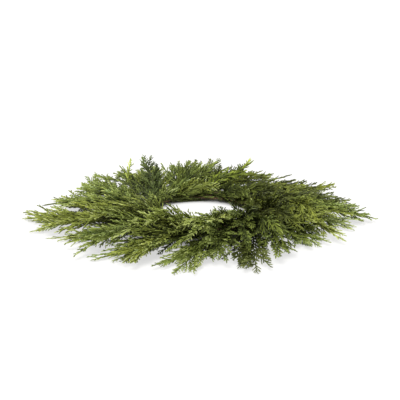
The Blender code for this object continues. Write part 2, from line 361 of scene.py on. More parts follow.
class Course:
    """Places and directions along a stem line, by the length gone from its cut end."""

    LOOK_AHEAD = 3                   # points between which the direction is taken
    LOOK_BACK = 2

    def __init__(self, line: StemLine) -> None:
        """Measures the line.

        Args:
            line: The stem line to follow.
        """
        self.line = line
        self.points = line.points()
        self.along = [0.0]
        for before, after in zip(self.points, self.points[1:]):
            self.along.append(self.along[-1] + (after - before).length)
        self.length = self.along[-1]

    def frame(self, gone: float) -> Matrix:
        """Finds the place and directions at a length along the line.

        Args:
            gone: Length from the cut end.

        Returns:
            A matrix whose X runs along the stem, Y to its left in the blade, and Z out of the blade.
        """
        gone = min(max(gone, 0.0), self.length)
        i = min(bisect_right(self.along, gone) - 1, len(self.points) - 2)
        step = self.points[i + 1] - self.points[i]
        place = self.points[i] + step * ((gone - self.along[i]) / step.length)
        last = min(i + self.LOOK_AHEAD, len(self.points) - 1)
        ahead = self.points[last] - self.points[max(i - self.LOOK_BACK, 0)]
        ahead.normalize()
        left = Vector((0.0, 0.0, 1.0)).cross(ahead).normalized()
        roll = self.line.roll * ease((gone - HOOP.bound) / self.line.bend)
        left = Matrix.Rotation(roll, 3, ahead) @ left
        facing = Matrix((ahead, left, ahead.cross(left))).transposed().to_4x4()
        return Matrix.Translation(place) @ facing


# ---------------------------------------------------------------- small shapes and how they gather


@dataclass
class Ring:
    """One ring of a stem or blade: its frame, its half sizes, and what its vertices know."""

    frame: Matrix
    half_width: float
    half_height: float
    growth: float
    along: float
    wood: float = 0.0


def round_outline(sides: int) -> Outline:
    """A regular outline with that many sides."""
    return tuple((math.cos(math.tau * i / sides), math.sin(math.tau * i / sides)) for i in range(sides))


RIDGED = ((1.0, -0.3), (0.0, 1.0), (-1.0, -0.3))    # flat underneath, with a ridge along the top


def start_mesh() -> BMesh:
    """Starts a mesh.

    Returns:
        An empty mesh with the foliage's vertex layers.
    """
    bm = bmesh.new()
    for name in VERTEX_LAYERS:
        bm.verts.layers.float.new(name)
    bm.verts.layers.int.new("corner")
    return bm


def finish_mesh(bm: BMesh, name: str) -> Mesh:
    """Finishes a mesh.

    Args:
        bm: What was modelled; it is freed.
        name: The mesh's name.

    Returns:
        The finished mesh.
    """
    mesh = bpy.data.meshes.new(name)
    bm.to_mesh(mesh)
    bm.free()
    return mesh


def grow(bm: BMesh, outline: Outline, rings: list[Ring], smooth: bool = False) -> None:
    """Extrudes an outline from ring to ring, brings the last ring to a point, and closes the first.

    Args:
        bm: The mesh to grow in.
        outline: Corners of the section, across and up, in half sizes.
        rings: The rings in order; the last gives the tip's place.
        smooth: Whether the faces are shaded smooth.
    """
    corner = bm.verts.layers.int["corner"]
    layers = [bm.verts.layers.float[name] for name in (GROWTH_AND_SHADE, ALONG, WOOD)]
    verts = bmesh.ops.create_circle(bm, segments=len(outline), radius=1.0)["verts"]
    for i, vert in enumerate(verts):
        vert[corner] = i

    def place(members: list[BMVert], ring: Ring) -> None:
        """Puts vertices on a ring.

        Args:
            members: The vertices, which know their corners.
            ring: The ring.
        """
        for vert in members:
            across, up = outline[vert[corner]]
            vert.co = ring.frame @ Vector((0.0, across * ring.half_width, up * ring.half_height))
            for layer, value in zip(layers, (ring.growth, ring.along, ring.wood)):
                vert[layer] = value

    place(verts, rings[0])
    edges = list({edge for vert in verts for edge in vert.link_edges})
    base, faces = edges, []
    for ring in rings[1:]:
        grown = bmesh.ops.extrude_edge_only(bm, edges=edges)["geom"]
        verts = [g for g in grown if isinstance(g, BMVert)]
        edges = [g for g in grown if isinstance(g, BMEdge)]
        place(verts, ring)
        faces += [face for edge in edges for face in edge.link_faces]
    bmesh.ops.pointmerge(bm, verts=verts, merge_co=rings[-1].frame.to_translation())
    faces = [face for face in set(faces) if face.is_valid]
    faces += bmesh.ops.holes_fill(bm, edges=base, sides=len(outline))["faces"]
    bmesh.ops.recalc_face_normals(bm, faces=faces)
    for face in faces:
        face.smooth = smooth


class Cluster:
    """Copies of small meshes, gathered into one mesh as they are placed."""

    def __init__(self) -> None:
        """Starts with nothing gathered."""
        self.bm = start_mesh()

    def add(self, mesh: Mesh, place: Matrix, growth: Span, tone: float, hue: float = 0.0) -> None:
        """Gathers a copy of a small mesh.

        Args:
            mesh: The small mesh.
            place: Where its base goes.
            growth: What its own growth of 0 and 1 become.
            tone: Added to its tone.
            hue: Added to its hue.
        """
        copy = mesh.copy()
        copy.transform(place)
        values = np.empty(len(copy.vertices), np.float32)
        changes = ((GROWTH_AND_SHADE, growth[0], growth[1] - growth[0]), (TONE, tone, 1.0), (HUE, hue, 1.0))
        for name, start, span in changes:
            data = copy.attributes[name].data
            data.foreach_get("value", values)
            data.foreach_set("value", start + span * values)
        self.bm.from_mesh(copy)
        bpy.data.meshes.remove(copy)


NEARLY_STRAIGHT = 1e-6               # a turn, in radians, that is taken as none


def arc(gone: float, curve: float) -> Matrix:
    """The frame at a length along a flat arc.

    Args:
        gone: Length from the arc's start, which runs along X.
        curve: Turn to the left, in radians per metre.

    Returns:
        The frame there, with X along the arc.
    """
    turn = curve * gone
    if abs(turn) < NEARLY_STRAIGHT:
        return Matrix.Translation((gone, 0.0, 0.0))
    place = Vector((math.sin(turn), 1.0 - math.cos(turn), 0.0)) / curve
    return Matrix.Translation(place) @ Matrix.Rotation(turn, 4, "Z")


def curled(mesh: Mesh, degrees: float) -> Mesh:
    """A copy of a small mesh that lies along X, curled downwards.

    Args:
        mesh: The small mesh, with its base at the origin.
        degrees: What it turns through, from its base to its tip.

    Returns:
        The copy, for the caller to remove.
    """
    copy = mesh.copy()
    places = read_places(copy)
    bend = math.radians(degrees) / float(places[:, 0].max())
    turn, radius = bend * places[:, 0], 1.0 / bend + places[:, 2]
    places[:, 0] = radius * np.sin(turn)
    places[:, 2] = radius * np.cos(turn) - 1.0 / bend
    write_places(copy, places)
    return copy


@dataclass(frozen=True)
class Branchlet:
    """A slim branchlet clad in scale leaves: a shouldered, ridged blade with pointed side scales."""

    length: float
    curve: float                     # radians per metre, to the left
    side_scales: int = 0
    half_width: float = 0.00088
    ridge: float = 0.00118
    shoulder_spacing: float = 0.0065
    base: float = 0.60               # share of the width at the base
    waist: float = 0.70              # share of the width that is left between shoulders
    shoulder_at: float = 0.70        # shares of the spacing, from one waist to the next
    waist_at: float = 0.86
    tip_share: float = 0.85          # share of the width that is left at the tip
    scale_length: float = 0.0026
    scales_from: float = 0.15        # share of the length, and how far along it the side scales run
    scales_over: float = 0.70
    scale_degrees: float = 30.0      # from the branchlet, to either side
    scale_taper: float = 0.30        # what the last side scale lacks of the length
    scale_lift: float = 0.0002
    scale_root: Span = (0.9, 0.8)    # shares of the blade's width and ridge
    scale_growth: float = 0.25       # how much younger its point is

    def mesh(self) -> Mesh:
        """Models the branchlet along X, from the origin.

        Returns:
            A mesh of a few dozen faces.
        """
        bm = start_mesh()
        pairs = max(1, round(self.length / self.shoulder_spacing))
        rings = [self.ring(0.0, self.base)]
        for i in range(pairs):
            rings.append(self.ring((i + self.shoulder_at) / pairs, 1.0))
            if i < pairs - 1:
                rings.append(self.ring((i + self.waist_at) / pairs, self.waist))
        rings.append(self.ring(1.0, 0.0))
        grow(bm, RIDGED, rings)
        for i in range(self.side_scales):
            share = self.scales_from + self.scales_over * i / self.side_scales
            self.grow_scale(bm, share, 1 if i % 2 else -1)
        return finish_mesh(bm, "branchlet")

    def ring(self, share: float, fullness: float) -> Ring:
        """Places one ring of the blade.

        Args:
            share: Share of the length.
            fullness: Share of the full width.

        Returns:
            The ring.
        """
        taper = 1.0 - (1.0 - self.tip_share) * share
        size = fullness * taper
        gone = share * self.length
        return Ring(arc(gone, self.curve), size * self.half_width, size * self.ridge, share, gone)

    def grow_scale(self, bm: BMesh, share: float, side: int) -> None:
        """Grows one pointed scale out of an edge.

        Args:
            bm: The mesh to grow it in.
            share: Share of the branchlet's length.
            side: 1 for the left edge, -1 for the right one.
        """
        gone = share * self.length
        root = arc(gone, self.curve) @ turned(side * self.scale_degrees, "Z")
        size = self.scale_length * (1.0 - self.scale_taper * share)
        tip = root @ Matrix.Translation((size, 0.0, self.scale_lift))
        width, height = self.scale_root
        grow(bm, RIDGED, [
            Ring(root, width * self.half_width, height * self.ridge, share, gone),
            Ring(tip, 0.0, 0.0, min(1.0, share + self.scale_growth), gone + size)])


def nearest(lengths: tuple[float, ...], length: float, stretch: Span) -> tuple[int, float]:
    """Finds the stock that comes nearest to a length.

    Args:
        lengths: Lengths in stock.
        length: The length that is wanted.
        stretch: Least and most scaling that is allowed.

    Returns:
        Which length it is, and the scaling that brings it there.
    """
    i = min(range(len(lengths)), key=lambda k: abs(lengths[k] - length))
    return i, min(stretch[1], max(stretch[0], length / lengths[i]))


@dataclass
class BranchletShelf:
    """Branchlets of every length and both bends, modelled once and copied."""

    lengths: tuple[float, ...] = (0.005, 0.007, 0.0095, 0.013, 0.017, 0.0215)
    curves: tuple[float, ...] = (-14.0, 14.0)
    scaled_from: float = 0.0070      # branchlets from this length up have scales at their sides
    scale_spacing: float = 0.0045
    stretch: Span = (0.80, 1.15)     # how far a copy's length may be scaled
    meshes: dict[tuple[int, int], Mesh] = field(default_factory=dict)

    def stock(self) -> None:
        """Models every branchlet."""
        for i, length in enumerate(self.lengths):
            for k, curve in enumerate(self.curves):
                scales = round(length / self.scale_spacing) if length >= self.scaled_from else 0
                self.meshes[i, k] = Branchlet(length, curve, scales).mesh()

    def pick(self, length: float, left: bool) -> tuple[Mesh, Matrix]:
        """Picks the nearest branchlet.

        Args:
            length: How long it is to be.
            left: Whether it bends to the left.

        Returns:
            Its mesh, and the scaling that brings it to length.
        """
        i, scale = nearest(self.lengths, length, self.stretch)
        return self.meshes[i, int(left)], Matrix.Diagonal((scale, 1.0, 1.0, 1.0))


@dataclass(frozen=True)
class Twig:
    """A side twig: a slim axis with branchlets on alternate sides, all in one plane."""

    length: float
    curve: float
    seed: int
    spacing: float = 0.0035          # from one branchlet to the next, on the other side
    first: float = 0.0040
    half_width: float = 0.00100
    thickness: float = 0.0012
    base_degrees: float = 31.0
    tip_degrees: float = 21.0
    longest_share: float = 0.44      # length of the longest branchlet, in shares of the twig
    longest: float = 0.0230
    shortest: float = 0.0050
    flutter_degrees: float = 24.0    # how far branchlets stray out of the plane
    flutter_spread: float = 0.5
    angle_varies: float = 7.0        # degrees
    roll_varies: float = 30.0
    length_varies: Span = (0.80, 1.15)
    spacing_varies: Span = (0.85, 1.15)
    tone_varies: float = 0.9
    axis_step: float = 0.008
    axis_taper: float = 0.15
    bare_tip: float = 0.003
    oldest: Span = (0.0, 0.65)       # growth at the base and tip of the first branchlet
    ages_by: float = 0.35            # how much higher both are at the twig's tip
    rounded: tuple[float, float, float] = (0.5, 2.2, 0.55)    # outline: start, rise and point

    def mesh(self, shelf: BranchletShelf) -> Mesh:
        """Models the twig along X, from the origin.

        Args:
            shelf: Branchlets to copy.

        Returns:
            The twig's mesh.
        """
        vary = Random(self.seed)
        cluster = Cluster()
        steps = max(2, round(self.length / self.axis_step))
        rings = []
        for i in range(steps + 1):
            share = i / steps
            size = 1.0 - self.axis_taper * share
            gone = share * self.length
            place = arc(gone, self.curve)
            rings.append(Ring(place, size * self.half_width, size * self.thickness, share, gone))
        grow(cluster.bm, RIDGED, rings)
        gone, side = self.first, 1 if vary.random() < 0.5 else -1
        while gone < self.length - self.bare_tip:
            share = gone / self.length
            length = max(self.shortest, self.branchlet_length(share) * vary.uniform(*self.length_varies))
            degrees = self.base_degrees + (self.tip_degrees - self.base_degrees) * share
            degrees += vary.uniform(-self.angle_varies, self.angle_varies)
            place = arc(gone, self.curve) @ turned(side * degrees, "Z")
            place @= turned(vary.gauss(0.0, self.flutter_spread) * self.flutter_degrees, "Y")
            place @= turned(vary.uniform(-self.roll_varies, self.roll_varies), "X")
            mesh, sizing = shelf.pick(length, side < 0)
            growth = (self.oldest[0] + self.ages_by * share, self.oldest[1] + self.ages_by * share)
            cluster.add(mesh, place @ sizing, growth, vary.uniform(-self.tone_varies, self.tone_varies))
            gone += self.spacing * vary.uniform(*self.spacing_varies)
            side = -side
        return finish_mesh(cluster.bm, "twig")

    def branchlet_length(self, share: float) -> float:
        """Finds how long the branchlets are.

        Args:
            share: Share of the twig's length.

        Returns:
            Their length there.
        """
        longest = min(self.longest, self.longest_share * self.length)
        start, rise, point = self.rounded
        return longest * min(1.0, start + rise * share) * (1.0 - share) ** point


@dataclass
class TwigShelf:
    """Side twigs of every length and both bends, modelled once and copied."""

    branchlets: BranchletShelf
    lengths: tuple[float, ...] = (0.010, 0.015, 0.021, 0.028, 0.037, 0.048, 0.061, 0.076, 0.092)
    kinds: int = 3
    bend_degrees: float = 16.0
    least_bend: float = 0.4          # share of that bend in the first kind, and what each kind adds
    more_bend: float = 0.6
    stretch: Span = (0.85, 1.12)     # how far a copy may be scaled
    meshes: dict[tuple[int, int, int], Mesh] = field(default_factory=dict)

    def stock(self) -> None:
        """Models every twig."""
        self.branchlets.stock()
        for i, length in enumerate(self.lengths):
            for k in range(self.kinds):
                bend = math.radians(self.bend_degrees) * (self.least_bend + self.more_bend * k) / length
                for left in (0, 1):
                    twig = Twig(length, bend if left else -bend, seed=1000 * i + 10 * k + left)
                    self.meshes[i, k, left] = twig.mesh(self.branchlets)

    def pick(self, length: float, left: bool, vary: Random) -> tuple[Mesh, Matrix]:
        """Picks a twig of about the right length.

        Args:
            length: How long it is to be.
            left: Whether it bends to the left.
            vary: Source of variation, for its kind.

        Returns:
            Its mesh, and the scaling that brings it to length.
        """
        i, scale = nearest(self.lengths, length, self.stretch)
        mesh = self.meshes[i, vary.randrange(self.kinds), int(left)]
        return mesh, Matrix.Diagonal((scale, scale, 1.0, 1.0))


# ---------------------------------------------------------------- the sprays


@dataclass(frozen=True)
class Habit:
    """How a kind of spray grows."""

    spacing: float                   # between side twigs on one side
    angle_degrees: float             # of side twigs from the stem
    breadth: float                   # sideways reach, in shares of the solid's
    tilt_degrees: float              # mean rise of side twigs out of the blade
    flutter_degrees: float           # how far they stray from that
    lifted_spacing: float            # between the twigs that stand out of the blade
    lifted_degrees: float
    lifted_length: float
    fullness: float = 3.0            # higher keeps the blade wide nearer to its tip
    left: float = 0.85               # reach on the stem's left, in shares of the breadth
    right: float = 1.15
    lifted_left: float = 0.35        # share of the lifted twigs that lean to the left
    leafy_from: float = 0.004        # where twigs begin, past the bound stretch
    tip_length: float = 0.026        # last stretch of stem, which carries branchlets alone


HABITS = {
    Tier.LOW: Habit(0.0125, 30, 1.40, 2, 8, 0.018, 18, 0.046, fullness=4.0),
    Tier.MIDDLE: Habit(0.0125, 30, 1.25, 2, 12, 0.013, 22, 0.046, fullness=4.0, left=0.75, right=1.30,
                       lifted_left=0.20, leafy_from=-0.010),
    Tier.TOP: Habit(0.0125, 29, 1.15, 0, 14, 0.012, 24, 0.044, leafy_from=-0.016),
    Tier.COLLAR: Habit(0.0060, 34, 1.20, 0, 24, 0.005, 32, 0.021, left=1.0, right=2.1, lifted_left=0.5,
                       leafy_from=-0.012, tip_length=0.018),
    Tier.TUCK: Habit(0.0065, 34, 1.20, 0, 24, 0.006, 32, 0.018, left=1.0, right=2.0, lifted_left=0.5,
                     leafy_from=-0.012, tip_length=0.012),
}


@dataclass(frozen=True)
class Trim:
    """How one spray differs from the others of its kind, in shares of what they have."""

    left: float = 1.0                # sideways reach on the stem's left
    right: float = 1.0
    lifted: float = 1.0              # length of the twigs that stand out of the blade
    tone: float = 0.0                # added to its twigs' tone, partly as painted light and shade
    hue: float = 0.0                 # added to its twigs' hue
    bare_tip: float = 0.0            # share of the stem that is bare, at its tip
    sag: float = 0.0                 # how far its outer foliage hangs below its solid


@dataclass(frozen=True)
class Frond:
    """A twig of a spray's own, beside those that its kind has."""

    spray: str
    at: float                        # share of the stem
    turn_degrees: float              # from the stem, to the left
    rise_degrees: float              # out of the blade
    length: float
    tone: float = 0.0
    hue: float = 0.0
    droop_degrees: float = 0.0       # what it curls down through, from its base to its tip


class Side(Enum):
    """The sides of a stem, as the sign of a turn from it."""

    LEFT = 1
    RIGHT = -1


@dataclass(frozen=True)
class Fill:
    """A row of evenly spaced fronds along one side of a spray, where its foliage is thick."""

    spray: str
    side: Side
    start: float                     # share of the stem where the row starts
    end: float
    count: int
    length: float
    tone: float = 0.0
    hue: float = 0.0
    turn_degrees: float = 27.0       # from the stem, to that side
    rise_degrees: float = 2.0        # out of the blade
    shares: Span = (1.1, 0.9)        # of the length, by turns

    def fronds(self) -> list[Frond]:
        """Lays out the row.

        Returns:
            Its fronds, each a little shorter or longer than the last.
        """
        step = (self.end - self.start) / max(1, self.count - 1)
        turn = self.side.value * self.turn_degrees
        return [
            Frond(self.spray, self.start + step * i, turn, self.rise_degrees,
                  self.length * self.shares[i % 2], self.tone, self.hue)
            for i in range(self.count)]


FILLS = (
    # the front and both long ends, where the foliage is thickest
    Fill("low_spray_01", Side.RIGHT, 0.35, 0.70, 5, 0.070, 0.2),
    Fill("low_spray_02", Side.RIGHT, 0.35, 0.75, 3, 0.065),
    Fill("low_spray_03", Side.RIGHT, 0.35, 0.75, 8, 0.085),
    Fill("low_spray_03", Side.LEFT, 0.35, 0.55, 8, 0.062, 0.1),
    Fill("low_spray_04", Side.RIGHT, 0.40, 0.65, 10, 0.085, 0.2, 0.1),
    Fill("low_spray_04", Side.LEFT, 0.35, 0.70, 7, 0.065, 0.3, 0.2),
    Fill("low_spray_05", Side.RIGHT, 0.35, 0.75, 11, 0.060, 0.2, 0.1),
    Fill("low_spray_05", Side.LEFT, 0.40, 0.70, 7, 0.060, 0.2),
    Fill("low_spray_06", Side.RIGHT, 0.35, 0.70, 10, 0.070, 0.2),
    Fill("low_spray_06", Side.LEFT, 0.40, 0.70, 7, 0.055, 0.1),
    Fill("low_spray_07", Side.RIGHT, 0.70, 0.70, 1, 0.065),
    Fill("low_spray_07", Side.LEFT, 0.70, 0.70, 1, 0.065),
    Fill("middle_spray_01", Side.RIGHT, 0.45, 0.50, 3, 0.055, 0.3),
    Fill("middle_spray_02", Side.RIGHT, 0.55, 0.75, 3, 0.060),
    Fill("middle_spray_02", Side.LEFT, 0.60, 0.80, 5, 0.062, 0.1, 0.1),
    Fill("middle_spray_03", Side.RIGHT, 0.55, 0.70, 3, 0.065, 0.0, 0.1),
    Fill("middle_spray_03", Side.LEFT, 0.50, 0.80, 6, 0.058, 0.1),
    Fill("middle_spray_04", Side.RIGHT, 0.50, 0.55, 4, 0.060, -0.4),
    Fill("middle_spray_04", Side.LEFT, 0.55, 0.60, 2, 0.075, -1.0, turn_degrees=34.0),
    Fill("middle_spray_04", Side.LEFT, 0.70, 0.85, 2, 0.050),
    Fill("middle_spray_05", Side.RIGHT, 0.60, 0.85, 4, 0.060, 0.0, 0.2),
    Fill("middle_spray_05", Side.LEFT, 0.75, 0.85, 2, 0.040),
    Fill("middle_spray_06", Side.RIGHT, 0.45, 0.75, 3, 0.060),
    Fill("middle_spray_07", Side.RIGHT, 0.70, 0.70, 1, 0.050),
    Fill("middle_spray_07", Side.LEFT, 0.60, 0.60, 1, 0.050),
    Fill("top_spray_01", Side.RIGHT, 0.55, 0.85, 2, 0.055),
    Fill("top_spray_02", Side.LEFT, 0.85, 0.85, 1, 0.060, 0.3),
    Fill("top_spray_03", Side.LEFT, 0.20, 0.80, 3, 0.060, 0.3),
    Fill("top_spray_03", Side.RIGHT, 0.60, 0.60, 1, 0.050),
    Fill("top_spray_04", Side.RIGHT, 0.50, 0.55, 7, 0.060, 0.6),
    Fill("top_spray_04", Side.RIGHT, 0.80, 0.85, 3, 0.065, -0.9, turn_degrees=22.0, rise_degrees=-3.0),
    Fill("top_spray_04", Side.LEFT, 0.20, 0.50, 4, 0.060, 0.8, turn_degrees=22.0, rise_degrees=5.0),
    Fill("top_spray_05", Side.LEFT, 0.80, 0.85, 3, 0.065, -0.5, turn_degrees=12.0),
    Fill("top_spray_05", Side.RIGHT, 0.40, 0.45, 3, 0.070, 0.8),
    Fill("top_spray_06", Side.RIGHT, 0.60, 0.60, 1, 0.060, turn_degrees=35.0),
    Fill("top_spray_07", Side.LEFT, 0.80, 0.80, 1, 0.055),
    # the lip over the opening in front, light in tone, partly its own colour and partly painted light
    Fill("top_spray_04", Side.LEFT, 0.35, 0.50, 4, 0.040, 0.9, 0.2, turn_degrees=55.0, rise_degrees=0.0),
    Fill("top_spray_05", Side.RIGHT, 0.40, 0.50, 3, 0.036, 0.9, 0.2, turn_degrees=57.0, rise_degrees=-2.0),
    # the back, more thinly
    Fill("low_spray_08", Side.LEFT, 0.70, 0.70, 1, 0.050),
    Fill("low_spray_08", Side.RIGHT, 0.10, 0.70, 2, 0.045),
    Fill("low_spray_09", Side.LEFT, 0.40, 0.40, 1, 0.050),
    Fill("low_spray_09", Side.RIGHT, 0.40, 0.40, 1, 0.050),
    Fill("low_spray_10", Side.RIGHT, 0.15, 0.40, 3, 0.060),
    Fill("low_spray_12", Side.RIGHT, 0.15, 0.35, 3, 0.050),
    Fill("low_spray_13", Side.RIGHT, 0.15, 0.15, 1, 0.055),
    Fill("low_spray_14", Side.RIGHT, 0.15, 0.40, 4, 0.060),
    Fill("low_spray_14", Side.LEFT, 0.40, 0.60, 2, 0.055, 0.1),
    Fill("middle_spray_08", Side.RIGHT, 0.10, 0.65, 2, 0.045),
    Fill("middle_spray_09", Side.LEFT, 0.40, 0.45, 2, 0.036, turn_degrees=20.0),
    Fill("middle_spray_10", Side.RIGHT, 0.15, 0.15, 1, 0.060),
    Fill("middle_spray_12", Side.RIGHT, 0.15, 0.15, 1, 0.060),
    Fill("middle_spray_12", Side.LEFT, 0.45, 0.70, 2, 0.058, turn_degrees=24.0),
    Fill("middle_spray_13", Side.RIGHT, 0.15, 0.15, 1, 0.055),
    Fill("middle_spray_14", Side.RIGHT, 0.15, 0.15, 1, 0.050),
    Fill("top_spray_08", Side.LEFT, 0.65, 0.65, 1, 0.058),
    Fill("top_spray_09", Side.RIGHT, 0.75, 0.80, 2, 0.050, 0.2, 0.4, turn_degrees=11.0, rise_degrees=7.0),
    Fill("top_spray_10", Side.RIGHT, 0.45, 0.50, 2, 0.060, turn_degrees=37.0),
    Fill("top_spray_12", Side.LEFT, 0.70, 0.70, 1, 0.055, turn_degrees=13.0),
    Fill("top_spray_13", Side.LEFT, 0.55, 0.70, 2, 0.058),
    Fill("top_spray_14", Side.LEFT, 0.60, 0.60, 1, 0.055),
    Fill("top_spray_14", Side.RIGHT, 0.35, 0.35, 1, 0.050, rise_degrees=-5.0),
)

FRONDS = (
    # lime ones at the back, and a yellowed one at the back left
    Frond("top_spray_10", 0.80, -65, 50, 0.030, 1.0, 0.7),
    Frond("top_spray_10", 0.85, -70, 60, 0.025, 1.0, 0.7),
    Frond("top_spray_13", 0.45, -30, 13, 0.100, 0.4, 1.3),
    # a lime patch and a bluish one on the left
    Frond("top_spray_01", 0.45, -30, 10, 0.055, 0.6, 0.8),
    Frond("top_spray_01", 0.50, -25, 2, 0.050, 0.8, 0.3),
    Frond("top_spray_01", 0.45, -30, 0, 0.040, 1.0, 0.5),
    Frond("top_spray_01", 0.35, -25, -5, 0.040, 1.0, 0.5),
    Frond("top_spray_01", 0.50, 20, 2, 0.045, 0.2, -0.7),
    Frond("top_spray_01", 0.40, 5, 5, 0.050, 0.2, -0.7),
    # ones light in tone at the opening's front edge, partly their own colour and partly painted light, two
    # of them upright
    Frond("middle_spray_03", 0.35, 20, 15, 0.050, 0.8),
    Frond("top_spray_03", 0.22, 10, 45, 0.026, 0.5, 0.4),
    Frond("top_spray_03", 0.18, -10, 50, 0.023, 0.5, 0.4),
    # a curled frond and a lime comb on the right
    Frond("middle_spray_05", 0.46, -26, 56, 0.088, 0.4, 0.2, 125),
    Frond("middle_spray_05", 0.50, -15, 60, 0.094, 0.4, 0.2, 130),
    Frond("middle_spray_05", 0.54, -6, 58, 0.094, 0.2, 0.2, 125),
    Frond("middle_spray_05", 0.57, 4, 54, 0.090, 0.1, 0.2, 115),
    Frond("top_spray_07", 0.58, -54, 34, 0.064, 0.5, 0.1, 65),
    Frond("top_spray_07", 0.61, -44, 34, 0.080, 0.6, 0.1, 60),
    Frond("top_spray_07", 0.64, -33, 32, 0.086, 0.5, 0.1, 55),
)


# Tones set spray by spray also hold painted shade and painted light: sprays at the right and the back are
# darkened, those round the front of the opening lightened.
TRIMS = {
    "low_spray_01": Trim(left=1.3),
    "low_spray_02": Trim(left=1.2, tone=0.1),
    "low_spray_03": Trim(left=1.4, right=1.25, tone=0.1),
    "low_spray_04": Trim(right=0.55, lifted=0.7, tone=0.2),
    "low_spray_05": Trim(left=0.3, right=1.2, lifted=0.8, tone=-0.2),
    "low_spray_06": Trim(right=1.3, tone=0.3),
    "low_spray_07": Trim(tone=0.6),
    "low_spray_08": Trim(left=0.6),
    "low_spray_09": Trim(left=0.7, tone=-0.5),
    "low_spray_10": Trim(lifted=0.5, tone=-0.5),
    "low_spray_14": Trim(right=0.6),
    "middle_spray_01": Trim(left=1.6, hue=0.1, sag=0.005),
    "middle_spray_02": Trim(left=1.7, tone=0.1),
    "middle_spray_03": Trim(left=1.2, tone=-0.1),
    "middle_spray_04": Trim(tone=-0.2),
    "middle_spray_05": Trim(left=1.3, tone=-0.6),
    "middle_spray_06": Trim(right=1.2, tone=0.1),
    "middle_spray_07": Trim(left=0.9, lifted=0.6, tone=0.1),
    "middle_spray_08": Trim(left=0.5, lifted=0.5, tone=-0.2, sag=0.006),
    "middle_spray_09": Trim(left=0.5, lifted=0.1, tone=-0.5, sag=0.008),
    "middle_spray_10": Trim(lifted=0.5, tone=-0.5),
    "middle_spray_12": Trim(right=0.6, lifted=0.4, tone=-0.3),
    "middle_spray_13": Trim(right=0.5, lifted=0.4, tone=0.2, sag=0.005),
    "middle_spray_14": Trim(right=0.5, lifted=0.4, bare_tip=0.25),
    "top_spray_01": Trim(right=0.6, lifted=0.7, tone=0.1, sag=0.005),
    "top_spray_02": Trim(right=0.8, tone=-0.2),
    "top_spray_03": Trim(right=0.65, lifted=0.7, tone=0.6, hue=0.25),
    "top_spray_04": Trim(right=0.55, lifted=0.5, tone=0.5, hue=0.25),
    "top_spray_05": Trim(right=0.8, lifted=0.6, tone=-0.6),
    "top_spray_06": Trim(tone=-1.1),
    "top_spray_07": Trim(tone=-0.5),
    "top_spray_08": Trim(left=0.5, lifted=0.5, tone=-0.3, sag=0.009),
    "top_spray_09": Trim(left=0.3, right=0.7, lifted=0.3, tone=-0.35, sag=0.010),
    "top_spray_10": Trim(left=0.5, right=0.5, lifted=0.4, tone=-0.4, bare_tip=0.12),
    "top_spray_12": Trim(left=0.9, right=0.5, lifted=0.7, tone=-0.3),
    "top_spray_13": Trim(left=0.4, right=0.3, lifted=0.35, tone=-0.3, sag=0.010),
    "top_spray_14": Trim(right=0.3, lifted=0.5, tone=-0.1, sag=0.008),
    "collar_sprig_01": Trim(tone=0.4),
    "collar_sprig_02": Trim(tone=0.2),
    "collar_sprig_03": Trim(tone=0.2),
    "collar_sprig_04": Trim(tone=-0.3),
    "collar_sprig_05": Trim(tone=-0.5),
    "tuck_sprig_04": Trim(tone=-0.8),
}


def softly_positive(values: np.ndarray, depth: float) -> np.ndarray:
    """The values, with those below zero brought to just above it over that depth."""
    return 0.5 * (values + np.sqrt(values * values + depth ** 2))


@dataclass(frozen=True)
class Surroundings:
    """What foliage lies against: the table below it, and the candle's space inside it."""

    rest: float = 0.0030             # depth over which foliage flattens against the table
    opening: float = 0.0785
    press: float = 0.0035            # depth over which it is pressed back from the opening
    lofty: float = 0.048             # height from which foliage nods
    headroom: float = 0.0095         # what it then nods within
    least_radius: float = 1e-6

    def settle(self, mesh: Mesh) -> None:
        """Moves a mesh's vertices off the table and out of the opening.

        Args:
            mesh: The mesh, in its place on the ring.
        """
        places = read_places(mesh).astype(float)
        height = softly_positive(places[:, 2], self.rest)
        above = np.maximum(height - self.lofty, 0.0) / self.headroom
        places[:, 2] = np.minimum(height, self.lofty) + self.headroom * (1.0 - np.exp(-above))
        radius = np.maximum(np.hypot(places[:, 0], places[:, 1]), self.least_radius)
        out = self.opening + softly_positive(radius - self.opening, self.press)
        places[:, :2] *= (out / radius)[:, None]
        write_places(mesh, places)


@dataclass(frozen=True)
class Shade:
    """Painted shade: foliage that lies deep in the ring, under the rest, is coloured darker."""

    # radius, and the foliage's height there
    crown: tuple[Span, ...] = (
        (0.078, 0.020), (0.095, 0.033), (0.110, 0.040), (0.150, 0.043),
        (0.200, 0.039), (0.240, 0.028), (0.295, 0.012))
    dark_below: float = 0.10         # shares of the foliage's height at that radius
    light_above: float = 0.75
    darkest: float = 0.12            # share of the growth that is left there
    edge_from: float = 0.155         # beyond this radius the foliage is thin, and all of it sees light
    edge_full: float = 0.225

    def cast(self, mesh: Mesh) -> None:
        """Paints shade by lowering the growth, and so darkening the colour, of the vertices that lie deep.

        Args:
            mesh: The mesh, in its place on the ring.
        """
        across, deep, height = read_places(mesh).T
        radius = np.hypot(across, deep)
        plan = RingPlan()
        lean = np.cos(np.arctan2(deep, across) - math.radians(plan.lowest_tie_degrees))
        crown = np.interp(radius, *zip(*self.crown)) * plan.keeps(lean)
        light = ease_all(ramp(height / crown, self.dark_below, self.light_above))
        light = np.maximum(light, ramp(radius, self.edge_from, self.edge_full))
        growth = np.empty(len(height), np.float32)
        data = mesh.attributes[GROWTH_AND_SHADE].data
        data.foreach_get("value", growth)
        growth = growth * (self.darkest + (1.0 - self.darkest) * light)
        data.foreach_set("value", growth.astype(np.float32))


@dataclass(frozen=True)
class TipHabit:
    """How branchlets sit along the last stretch of a stem."""

    spacing: float = 0.0038
    bare: float = 0.002              # what is left bare at the end
    shortest: float = 0.0045
    longer: float = 0.0110           # how much longer the first ones are
    length_varies: Span = (0.8, 1.2)
    turn_degrees: Span = (30.0, 44.0)
    spread_degrees: float = 9.0
    tone_varies: float = 0.3
    growth: Span = (0.75, 1.0)


